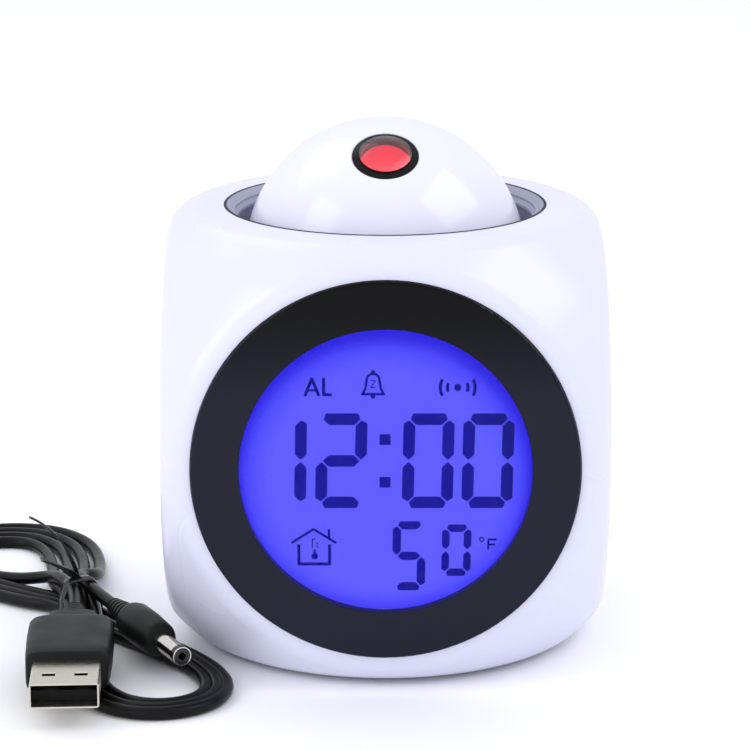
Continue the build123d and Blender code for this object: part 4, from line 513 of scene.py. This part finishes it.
@dataclass
class SubAssembly:
    """A group of CAD nodes with their finishes, and the pieces made around them."""

    finishes: ClassVar[dict[str, Finish]] = {}    # by CAD node

    def build(self) -> None:
        """Makes the group's own pieces."""

    def dress(self) -> None:
        """Gives each CAD node of the group its material."""
        for node, finish in self.finishes.items():
            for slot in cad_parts[node].material_slots:
                slot.material = finish.material()
            log.info("dressed %s with %s", node, finish.name)


@dataclass
class Casing(SubAssembly):
    """Front shell, rear cover, screws and feet."""

    finishes: ClassVar[dict[str, Finish]] = {
        "front_case": CASE_ABS, "rear_cover": CASE_ABS, "case_screws": ZINC_STEEL,
        "inner_screws": ZINC_STEEL, "rubber_feet": FOOT_RUBBER}


@dataclass
class Display(SubAssembly):
    """Ring, window, liquid crystal display and the board behind it."""

    finishes: ClassVar[dict[str, Finish]] = {
        "bezel_ring": RING_ABS, "display_window": WINDOW_ACRYLIC, "lcd_glass": LCD_GLASS,
        "lcd_segments": LCD_INK, "light_guide": GUIDE_ACRYLIC, "lcd_holder": INNER_ABS,
        "contact_strip": STRIP_RUBBER, "backlight_leds": BLUE_LAMP, "main_board": GREEN_BOARD,
        "chip_caps": CHIP_EPOXY, "timing_crystal": NICKEL}


@dataclass
class Projector(SubAssembly):
    """Ball with its optics, and the well, cradle and press under it."""

    finishes: ClassVar[dict[str, Finish]] = {
        "ball_cap": BALL_ABS, "ball_base": BALL_ABS, "ball_screws": ZINC_STEEL,
        "trunnion_pins": INNER_ABS, "lens_bezel": LENS_RING_ABS, "projector_lens": LENS_ACRYLIC,
        "optic_tube": RED_BORE_PAINTED_GLOW, "condenser_lens": RED_SLIDE_PAINTED_GLOW, "slide_lcd": RED_SLIDE_PAINTED_GLOW,
        "projector_board": GREEN_BOARD, "projector_led": RED_LAMP, "well_ring": WELL_ABS,
        "projector_cradle": WELL_ABS, "cradle_support": INNER_ABS, "cradle_springs": SPRING_WIRE,
        "snooze_board": GREEN_BOARD, "snooze_switch": BLACK_ABS}

    def build(self) -> None:
        """Makes the trim round the well's mouth."""
        WellTrim().build()


@dataclass
class WellTrim:
    """The lip that slopes from the case top into the well, and a ring of painted shadow in the joint round
    it.
    """

    opening_r: float = 28.7
    rounding: float = 1.0            # of the case's edge, which the lip fills
    mouth_r: float = 27.1            # inner edge of the lip
    lip_drop: float = 2.2            # from the case top to the lip's inner edge
    lip_edge: float = 0.5            # thickness there
    shadow_width: float = 0.5
    shadow_proud: float = 0.1
    tuck: float = 0.35               # how deep the hidden sides go into the case
    points: int = 180

    def build(self) -> None:
        """Makes the lip and the ring of painted shadow as two pieces."""
        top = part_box("front_case")[1].z / MM
        outer = self.opening_r + self.rounding
        shadow_r = outer - self.shadow_width
        low = top - self.lip_drop
        self.turned("well_lip", WELL_ABS, "well_grey",
                    [(self.mouth_r, low - self.lip_edge), (self.mouth_r, low), (shadow_r, top),
                     (shadow_r, top - self.tuck), (self.opening_r - 0.1, top - self.rounding - 0.1),
                     (self.opening_r - 0.3, low - self.lip_edge)])
        # A dark ring standing a little proud in the joint: painted shadow where the gap between well and case
        # is in shade.
        self.turned("well_joint_shadow", JOINT_SHADOW_ABS, "dark_plastic",
                    [(shadow_r, top - self.tuck), (shadow_r, top + self.shadow_proud * 0.6),
                     (shadow_r + 0.12, top + self.shadow_proud), (outer - 0.1, top + self.shadow_proud),
                     (outer + 0.04, top), (outer, top - self.tuck)])

    def turned(self, name: str, finish: Finish, slot: str, outline: Sequence[tuple[float, float]]) -> None:
        """Makes a ring round the ball's upright axis.

        Args:
            name: the piece's name.
            finish: what it is made of.
            slot: not used.
            outline: its section's radii and heights, in millimetres.
        """
        rings = [[Vector((r * math.cos(angle), r * math.sin(angle), z)) * MM for r, z in outline]
                 for angle in around(self.points)]
        ring = new_piece(name, ring_mesh(name, rings, closed=True), "case", finish)
        sharpen(ring, 30.0)


@dataclass
class Sound(SubAssembly):
    """Loudspeaker on the case floor."""

    finishes: ClassVar[dict[str, Finish]] = {"speaker_body": ZINC_STEEL, "speaker_cone": CONE_PAPER}


@dataclass
class Power(SubAssembly):
    """Cells, contacts, door and the power socket."""

    finishes: ClassVar[dict[str, Finish]] = {
        "battery_tray": INNER_ABS, "battery_cells": CELLS, "contact_plates": NICKEL,
        "contact_springs": SPRING_WIRE, "battery_door": CASE_ABS, "jack_body": BLACK_ABS,
        "jack_pin": NICKEL}


@dataclass
class Controls(SubAssembly):
    """Buttons, slide switch, sensor and the words printed beside them."""

    word_height: float = 2.3
    word_proud: float = 0.03
    drop: float = 6.4                # words below the row of buttons
    lift: float = 4.0                # words above the slide switch and the socket
    travel: float = 2.5              # of the slide switch
    finishes: ClassVar[dict[str, Finish]] = {
        "button_mode": CASE_ABS, "button_alarm": CASE_ABS, "button_up": CASE_ABS, "button_down": CASE_ABS,
        "key_board": GREEN_BOARD, "key_switches": BLACK_ABS, "slider_body": BLACK_ABS,
        "slider_knob": BLACK_ABS, "thermistor": CHIP_EPOXY}

    def build(self) -> None:
        """Prints a word beside each control."""
        for name in ("mode", "alarm", "up", "down"):
            middle = middle_of(f"button_{name}")
            self.print_word(f"word_{name}", name.upper(), middle.x, middle.z - self.drop * MM)
        knob, socket = middle_of("slider_knob"), middle_of("jack_body")
        self.print_word("word_switch", "ON  OFF", knob.x + self.travel / 2 * MM, knob.z + self.lift * MM)
        self.print_word("word_socket", "DC 5V", socket.x, socket.z + self.lift * 1.2 * MM)

    def print_word(self, name: str, word: str, x: float, z: float) -> None:
        """Prints a word on the back, centred on a place.

        Args:
            name: the piece's name.
            word: what it says.
            x: the middle, in metres.
            z: the middle's height, in metres.
        """
        text = bpy.data.curves.new(name, "FONT")
        text.body = word
        text.size = self.word_height * MM
        text.align_x = "CENTER"
        text.align_y = "CENTER"
        text.extrude = self.word_proud / 2 * MM
        text.resolution_u = 3
        holder = bpy.data.objects.new(name + "_text", text)
        mesh = bpy.data.meshes.new_from_object(holder)
        bpy.data.objects.remove(holder)
        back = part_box("rear_cover")[1].y - self.word_proud * 0.4 * MM
        turn = Matrix.Rotation(math.pi, 4, "Z") @ Matrix.Rotation(math.pi / 2, 4, "X")
        mesh.transform(Matrix.Translation((x, back, z)) @ turn)
        new_piece(name, mesh, "case", PRINT_INK)


class Pass(Enum):
    """How high a strand crosses the waist of the hank, in millimetres."""

    UNDER = 1.65
    OVER = 4.05
    TAIL = 6.6


@dataclass(frozen=True)
class Leg:
    """A direction on the table from the tie, with its side towards the clock counted as positive."""

    tie: tuple[float, float]
    heading: float                   # degrees from +X
    clock_side: int                  # 1 where the clock is on the left of the heading, else -1

    def at(self, along: float, aside: float, height: float) -> Vector:
        """A point by its distance along and aside, in millimetres; the result is in metres."""
        turn = math.radians(self.heading)
        side = turn + self.clock_side * math.pi / 2
        x = self.tie[0] + along * math.cos(turn) + aside * math.cos(side)
        y = self.tie[1] + along * math.sin(turn) + aside * math.sin(side)
        return Vector((x, y, height)) * MM


@dataclass
class Lead(SubAssembly):
    """The loose lead: a figure of eight tied at its waist, with a USB plug and a barrel plug."""

    cord_d: float = 2.4
    clearance: float = 0.03          # between the cord and the table
    tie: tuple[float, float] = (-58.0, 0.0)
    near_heading: float = -67.0
    far_heading: float = 118.0
    near_len: float = 56.3           # middle strand's reach from the tie
    near_width: float = 17.4         # sets how wide the loop bulges
    far_len: float = 54.3
    far_width: float = 21.3
    pitch: float = 2.45              # between strands
    waist: float = 5.0               # from the tie to where the strands splay
    slant: float = 1.2               # how far a strand moves aside in that stretch
    lobe_from: float = 27.5          # degrees round a loop at its first point
    lobe_points: int = 13
    settle_from: float = 7.0         # where a raised strand starts to come down
    settle_to: float = 27.0          # where it lies on the table
    far_fan: tuple[float, ...] = (2.4, 0.7, -0.9, -2.8)    # how strands spread on the clock's side
    near_fan: tuple[float, ...] = (0.9, 0.1, -1.3)
    tail_aside: float = 1.5
    tail_turn: float = 3.0
    tail_back: float = 8.0
    usb_heading: float = -87.0
    dc_heading: float = -63.0
    plug_run: float = 11.0           # from a tail's turn to its plug
    length: float = 0.93             # metres
    finishes: ClassVar[dict[str, Finish]] = {
        "usb_plug_shell": NICKEL, "usb_plug_tongue": PLUG_PBT, "dc_plug_barrel": BARREL_NICKEL}

    def near(self) -> Leg:
        """The near loop's leg."""
        return Leg(self.tie, self.near_heading, 1)

    def far(self) -> Leg:
        """The far loop's leg."""
        return Leg(self.tie, self.far_heading, -1)

    def lobe(self, leg: Leg, reach: float, width: float, offset: float, fan: float,
             rises: tuple[float, float]) -> list[Vector]:
        """One pass round a loop, from the clock's side to the other side.

        Args:
            leg: which loop.
            reach: the middle strand's length from the tie, in millimetres.
            width: the middle strand's bulge.
            offset: how far outside the middle strand this one lies.
            fan: further spread on the clock's side.
            rises: heights that the strand comes down from and goes up to.

        Returns:
            Points in metres.
        """
        points = []
        for index in range(self.lobe_points):
            share = index / (self.lobe_points - 1)
            x = math.radians(self.lobe_from + share * (180 - 2 * self.lobe_from))
            along = reach * math.sin(x) ** 2
            aside = 2 * width * math.sin(x) ** 3 * math.cos(x)
            d_along = 2 * reach * math.sin(x) * math.cos(x)
            d_aside = 2 * width * math.sin(x) ** 2 * (3 * math.cos(x) ** 2 - math.sin(x) ** 2)
            norm = math.hypot(d_along, d_aside)
            out = offset + fan * math.sin(x) ** 2 * max(0.0, math.cos(x * 0.8))
            rise = rises[0] if share < 0.5 else rises[1]
            rest = self.cord_d / 2 + self.clearance
            fade = min(1.0, max(0.0, (self.settle_to - along) / (self.settle_to - self.settle_from)))
            height = rest + (rise - rest) * fade ** 1.6
            points.append(leg.at(along - out * d_aside / norm, aside + out * d_along / norm, height))
        return points

    def crossing(self, towards_near: bool, offset: float) -> list[Vector]:
        """A strand's two points at the waist.

        Args:
            towards_near: true for the flat band underneath, false for the strands over it.
            offset: the strand's place in its layer.

        Returns:
            Two points in metres, in the order that the cord takes them.
        """
        way, level = (1, Pass.UNDER) if towards_near else (-1, Pass.OVER)
        return [self.near().at(end * way * self.waist, offset + end * self.slant, level.value)
                for end in (-1, 1)]

    def tail(self, side: int, heading: float) -> list[Vector]:
        """A tail from its plug to the far side of the waist, in metres."""
        turn = self.near().at(self.tail_turn, side * self.tail_aside, Pass.TAIL.value)
        run = Vector((math.cos(math.radians(heading)), math.sin(math.radians(heading)), 0.0))
        plug_end = turn + run * self.plug_run * MM
        back = self.near().at(-self.tail_back, side * self.tail_aside * 1.2, Pass.TAIL.value - 0.3)
        return [plug_end, turn, back]

    def route(self) -> list[Vector]:
        """The whole cord from the barrel plug, three times round both loops, to the USB plug."""
        turns = len(self.near_fan)
        points = self.tail(1, self.dc_heading)
        for k in range(turns + 1):
            first = Pass.TAIL if k == 0 else Pass.OVER
            last = Pass.TAIL if k == turns else Pass.UNDER
            far_offset = self.pitch * (turns / 2 - k)
            points += self.lobe(self.far(), self.far_len, self.far_width, far_offset, self.far_fan[k],
                                (first.value, last.value))
            if k == turns:
                break
            layer = self.pitch * (k - (turns - 1) / 2)
            points += self.crossing(True, layer)
            points += self.lobe(self.near(), self.near_len, self.near_width, layer, self.near_fan[k],
                                (Pass.UNDER.value, Pass.OVER.value))
            points += self.crossing(False, -layer)
        return points + self.tail(-1, self.usb_heading)[::-1]

    def build(self) -> None:
        cord = self.build_cord()
        tie = TwistTie(self).build()
        grips = [UsbGrip().build(self), DcGrip().build(self), DcGrip().build_tip(self)]
        start = self.route()[0]

    def build_cord(self) -> Object:
        """The cord as one open spline with the cord's thickness."""
        curve = bpy.data.curves.new("lead_cord", "CURVE")
        curve.dimensions = "3D"
        spline = curve.splines.new("NURBS")
        points = self.route()
        spline.points.add(len(points) - 1)
        for target, point in zip(spline.points, points):
            target.co = (*point, 1.0)
        spline.order_u = 3
        spline.use_endpoint_u = True
        spline.resolution_u = 8
        curve.bevel_depth = self.cord_d / 2 * MM
        curve.bevel_resolution = 5
        curve.use_fill_caps = True
        cord = new_piece("lead_cord", curve, "usb_lead", CORD_PVC)
        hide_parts("lead_hank", "usb_tail", "dc_tail")
        return cord

    def plug_frame(self, side: int, heading: float) -> Matrix:
        """Where a plug's cord end lies, with X towards its nose."""
        place = self.tail(side, heading)[0]
        return Matrix.Translation(place) @ Matrix.Rotation(math.radians(heading), 4, "Z")


@dataclass
class TwistTie:
    """A plastic covered wire tie round the waist, with a twist and two free ends."""

    lead: Lead
    width: float = 3.2
    thick: float = 0.34
    wire_r: float = 0.42             # ridge over the wire, at the ribbon's middle
    steps: int = 44
    end_steps: int = 18
    long_end: float = 17.0
    short_end: float = 9.0
    end_twist: float = 65.0          # degrees that an end is twisted at its root
    root_share: float = 0.55         # its width there, as a share of the whole

    def loop_points(self) -> list[tuple[float, float, float]]:
        """The tie's path round the strands: aside, height and outward angle."""
        lead = self.lead
        layers = [(aside * lead.pitch, Pass.UNDER.value) for aside in (-1, 0, 1)]
        layers += [(aside * lead.pitch, Pass.OVER.value) for aside in (-1, 0, 1)]
        layers += [(aside * lead.tail_aside, Pass.TAIL.value) for aside in (-1, 1)]
        reach = lead.cord_d / 2 + self.thick / 2 + 0.02
        points = []
        for angle in around(self.steps):
            normal = (math.cos(angle), math.sin(angle))
            furthest = max(layers, key=lambda c: c[0] * normal[0] + c[1] * normal[1])
            height = max(self.thick / 2, furthest[1] + reach * normal[1])
            points.append((furthest[0] + reach * normal[0], height, angle))
        return points

    def section(self, centre: Vector, across: Vector, out: Vector, width: float) -> list[Vector]:
        """The ribbon's cross-section: flat wings and a ridge over the wire.

        Args:
            centre: its middle, in metres.
            across: unit direction of its width.
            out: unit direction of its thickness.
            width: in millimetres.

        Returns:
            Its corner points, in metres.
        """
        half, thin = width / 2, self.thick / 2
        ridge = min(self.wire_r, half * 0.45)
        outline = [(-half, -thin * 0.6), (-ridge, -thin), (0.0, -ridge), (ridge, -thin),
                   (half, -thin * 0.6), (half, thin * 0.6), (ridge, thin), (0.0, ridge), (-ridge, thin),
                   (-half, thin * 0.6)]
        return [centre + across * (a * MM) + out * (b * MM) for a, b in outline]

    def build(self) -> Object:
        """Makes the tie as one piece with its two ends."""
        leg = self.lead.near()
        across = (leg.at(1, 0, 0) - leg.at(0, 0, 0)).normalized()
        side = (leg.at(0, 1, 0) - leg.at(0, 0, 0)).normalized()
        rings = []
        for aside, height, angle in self.loop_points():
            out = side * math.cos(angle) + UP * math.sin(angle)
            flat = self.thick * 0.7 if height < self.thick else self.wire_r
            rings.append(self.flat_section(leg.at(0, aside, height), across, out, flat))
        mesh = ring_mesh("twist_tie_ring", rings, closed=True)
        tie = new_piece("tie_ring", mesh, "usb_lead", BLACK_ABS)
        for name, length, width, lean, bend in (("tie_end_long", self.long_end, 1.1, 18.0, 46.0),
                                                ("tie_end_short", self.short_end, 2.4, 48.0, 22.0)):
            end = self.build_end(name, length, width, lean, bend, leg, across, side)
            end.parent = tie
        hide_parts("twist_tie")
        return tie

    def flat_section(self, centre: Vector, across: Vector, out: Vector, ridge: float) -> list[Vector]:
        """The band's cross-section round the strands, its wire ridge outwards only."""
        half, thin = self.width / 2, self.thick / 2
        outline = [(-half, -thin), (half, -thin), (half, thin * 0.7), (ridge, thin), (0.0, ridge * 0.9),
                   (-ridge, thin), (-half, thin * 0.7)]
        return [centre + across * (a * MM) + out * (b * MM) for a, b in outline]

    def build_end(self, name: str, length: float, width: float, lean: float, bend: float, leg: Leg,
                  across: Vector, side: Vector) -> Object:
        """One free end, curving away from the clock.

        Args:
            name: the piece's name.
            length: in millimetres.
            width: in millimetres.
            lean: degrees off upright at its root.
            bend: further degrees by its tip.
            leg: the hank's near leg.
            across: unit direction of the ribbon's width.
            side: unit direction towards the clock.

        Returns:
            The end.
        """
        place = leg.at(0, 0, Pass.TAIL.value + self.lead.cord_d / 2)
        rings = []
        for index in range(self.end_steps + 1):
            share = index / self.end_steps
            angle = math.radians(lean + bend * share ** 1.5)
            run = UP * math.cos(angle) - side * math.sin(angle)
            out = side * math.cos(angle) + UP * math.sin(angle)
            twist = math.radians(self.end_twist * (1 - share) ** 2)
            wide = across * math.cos(twist) + out * math.sin(twist)
            thin = out * math.cos(twist) - across * math.sin(twist)
            taper = width * (self.root_share + (1 - self.root_share) * min(1.0, share * 3))
            rings.append(self.section(place, wide, thin, taper))
            place = place + run * (length / self.end_steps * MM)
        return new_piece(name, ring_mesh(name, rings), "usb_lead", BLACK_ABS)


@dataclass
class UsbGrip:
    """The USB plug's moulded grip: ribbed relief, stepped neck and a body with soft shoulders."""

    relief_len: float = 8.0
    neck_len: float = 4.0
    body_len: float = 22.0
    root_r: float = 1.55
    relief_r: float = 2.9
    ribs: int = 4
    groove: float = 0.4
    neck_w: float = 9.0
    neck_t: float = 6.2
    body_w: float = 15.4
    body_t: float = 7.8
    shoulder_len: float = 2.6
    shoulder_w: float = 5.9          # half width where the shoulder starts
    shoulder_t: float = 3.3          # half thickness there
    corner: float = 5.0              # squareness of the sections
    edge: float = 0.7                # rounding at each end
    points: int = 64

    def stations(self) -> list[tuple[float, float, float, float]]:
        """Sections along the grip: place, half width, half thickness and squareness."""
        rows = []
        step = self.relief_len / self.ribs
        for index in range(self.ribs):
            for share, dip in ((0.0, 0.0), (0.12, 0.0), (0.18, 1.0), (0.42, 1.0), (0.48, 0.0), (0.99, 0.0)):
                x = (index + share) * step
                grow = self.root_r + (self.relief_r - self.root_r) * x / self.relief_len
                rows.append((x, grow * 1.15 - self.groove * dip, grow - self.groove * dip, 2.4))
        neck = self.relief_len
        body = neck + self.neck_len
        nose = body + self.body_len
        for x, inset in ((neck, self.edge), (neck + 0.25, 0.15), (neck + self.edge, 0.0), (body - 0.05, 0.0)):
            rows.append((x, self.neck_w / 2 - inset, self.neck_t / 2 - inset, self.corner))
        for share in (0.0, 0.15, 0.4, 0.7, 1.0):
            swell = math.sin(share * math.pi / 2)
            rows.append((body + self.shoulder_len * share,
                         self.shoulder_w + (self.body_w / 2 - self.shoulder_w) * swell,
                         self.shoulder_t + (self.body_t / 2 - self.shoulder_t) * swell, self.corner))
        for x, in_w, in_t in ((body + 10.0, 0.0, 0.0), (nose - 4.0, 0.2, 0.0), (nose - self.edge, 0.4, 0.1),
                              (nose - 0.2, 0.6, 0.3), (nose, 0.9, 0.6)):
            rows.append((x, self.body_w / 2 - in_w, self.body_t / 2 - in_t, self.corner + 1))
        return rows

    def build(self, lead: Lead) -> Object:
        """Makes the grip at the end of the lead's USB tail."""
        place = lead.plug_frame(-1, lead.usb_heading)
        rings = []
        for x, half_w, half_t, square in self.stations():
            ring = []
            for angle in around(self.points):
                c, s = math.cos(angle), math.sin(angle)
                y = half_w * math.copysign(abs(c) ** (2 / square), c)
                z = half_t * math.copysign(abs(s) ** (2 / square), s)
                ring.append(place @ Vector((x * MM, y * MM, z * MM)))
            rings.append(ring)
        grip = new_piece("usb_grip", ring_mesh("usb_grip", rings), "usb_lead", GRIP_PVC)
        sharpen(grip, 40.0)
        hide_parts("usb_plug_body")
        return grip


@dataclass
class DcGrip:
    """The barrel plug's round grip with a ribbed relief, and the insulator at the barrel's tip."""

    relief_len: float = 8.0
    body_len: float = 14.0
    root_r: float = 1.55
    relief_r: float = 2.6
    body_r: float = 3.6
    ribs: int = 5
    groove: float = 0.35
    barrel_len: float = 9.5
    barrel_r: float = 1.75
    bore_r: float = 0.75
    tip_len: float = 1.4
    points: int = 48

    def profile(self) -> list[tuple[float, float]]:
        """The grip's outline: place along the plug and radius."""
        rows = []
        step = self.relief_len / self.ribs
        for index in range(self.ribs):
            for share, dip in ((0.0, 0.0), (0.15, 0.0), (0.2, 1.0), (0.5, 1.0), (0.55, 0.0), (0.99, 0.0)):
                x = (index + share) * step
                rows.append((x, self.root_r + (self.relief_r - self.root_r) * x / self.relief_len
                             - self.groove * dip))
        body, nose = self.relief_len, self.relief_len + self.body_len
        rows += [(body, self.relief_r), (body + 0.1, self.body_r - 0.75), (body + 0.8, self.body_r - 0.3),
                 (body + 2.2, self.body_r), (body + 7.0, self.body_r), (nose - 1.0, self.body_r - 0.35),
                 (nose - 0.25, self.body_r - 0.6), (nose, self.body_r - 0.95)]
        return rows

    def turned(self, lead: Lead, rows: Sequence[tuple[float, float]]) -> list[list[Vector]]:
        """Rings of an outline turned about the plug's axis.

        Args:
            lead: the lead that the plug is on.
            rows: place along the plug and radius, in millimetres.

        Returns:
            Rings of points in metres.
        """
        place = lead.plug_frame(1, lead.dc_heading)
        return [[place @ Vector((x * MM, radius * math.cos(a) * MM, radius * math.sin(a) * MM))
                 for a in around(self.points)] for x, radius in rows]

    def build(self, lead: Lead) -> Object:
        """Makes the grip at the end of the lead's other tail."""
        mesh = ring_mesh("dc_grip", self.turned(lead, self.profile()))
        grip = new_piece("dc_grip", mesh, "usb_lead", GRIP_PVC)
        sharpen(grip, 40.0)
        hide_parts("dc_plug_body")
        return grip

    def build_tip(self, lead: Lead) -> Object:
        """Makes the black insulator that closes the barrel's mouth round its bore."""
        end = self.relief_len + self.body_len + self.barrel_len
        start = end - self.tip_len
        outer = self.barrel_r + 0.04
        rows = [(start, self.barrel_r - 0.1), (start + 0.05, outer), (end - 0.2, outer),
                (end + 0.08, outer - 0.3), (end + 0.08, self.bore_r + 0.02),
                (start + 0.1, self.bore_r + 0.02)]
        mesh = ring_mesh("dc_tip", self.turned(lead, rows), closed=True)
        tip = new_piece("dc_tip", mesh, "usb_lead", BLACK_ABS)
        sharpen(tip)
        return tip


# --- studio ---

@dataclass
class Studio:
    """Plain pale floor, soft lights and the camera. Places are in metres."""

    floor_size: float = 8.0
    camera_at: tuple[float, float, float] = (-0.00186, -0.56463, 0.19318)
    camera_tilt: float = 75.58       # degrees from straight down
    lens: float = 149.66             # millimetres, like the sensor
    sensor: float = 36.0
    aim_height: float = 0.05         # where the lamps point, above the table
    sky: str = "#F8F9FF"
    sky_strength: float = 0.97

    def build(self) -> None:
        """Makes floor, light and camera."""
        self.build_floor()
        self.build_sky()
        self.build_lamp("soft_left", (-0.66, -0.32, 0.48), (0.40, 0.50), 1.2)
        self.build_lamp("soft_right", (0.61, -0.11, 0.65), (0.65, 0.45), 1.8)
        self.build_lamp("soft_back", (-0.44, 0.37, 0.76), (0.60, 0.50), 0.7)
        self.build_lamp("soft_low", (-0.70, -0.72, 0.24), (1.30, 0.40), 1.2)
        self.build_camera()

    def build_floor(self) -> None:
        """A wide pale sheet, gridded so that it can take the light evenly."""
        build = bmesh.new()
        bmesh.ops.create_grid(build, x_segments=4, y_segments=4, size=self.floor_size / 2)
        mesh = bpy.data.meshes.new("studio_floor")
        build.to_mesh(mesh)
        build.free()
        floor = in_scene("studio_floor", mesh)
        mesh.materials.append(MouldedPlastic("studio_paper", "#FFFFFF", "#FDFDFF", 0.9, specular=0.1,
                                             cloud_mm=300.0).material())

    def build_sky(self) -> None:
        """Even light from all round."""
        world = bpy.data.worlds.new("studio_world")
        bpy.context.scene.world = world
        world.use_nodes = True
        plug(world.node_tree, world.node_tree.nodes["Background"],
             {"Color": linear(self.sky), "Strength": self.sky_strength})

    def build_lamp(self, name: str, place: tuple[float, float, float], size: tuple[float, float],
                   watts: float) -> None:
        """A soft box that faces the clock.

        Args:
            name: the lamp's name.
            place: where it stands, in metres.
            size: width and height, in metres.
            watts: its power.
        """
        data = bpy.data.lights.new(name, "AREA")
        data.shape = "RECTANGLE"
        data.size, data.size_y = size
        data.energy = watts
        lamp = in_scene(name, data)
        lamp.location = place
        aim = Vector((0.0, 0.0, self.aim_height)) - Vector(place)
        lamp.rotation_euler = aim.to_track_quat("-Z", "Y").to_euler()

    def build_camera(self) -> None:
        """The camera in front of the clock, a little above it."""
        data = bpy.data.cameras.new("camera")
        data.lens = self.lens
        data.sensor_width = self.sensor
        camera = in_scene("camera", data)
        camera.location = self.camera_at
        camera.rotation_euler = (math.radians(self.camera_tilt), 0.0, 0.0)
        bpy.context.scene.camera = camera
        bpy.context.scene.view_settings.view_transform = "Standard"


def main() -> None:
    """Builds and dresses every sub-assembly, then the studio."""
    logging.basicConfig(level=logging.INFO, format="%(name)s: %(message)s")
    for group in (Lead(), Casing(), Display(), Projector(), Sound(), Power(), Controls()):
        group.dress()
        group.build()
    Studio().build()


if __name__ == "__main__":
    main()
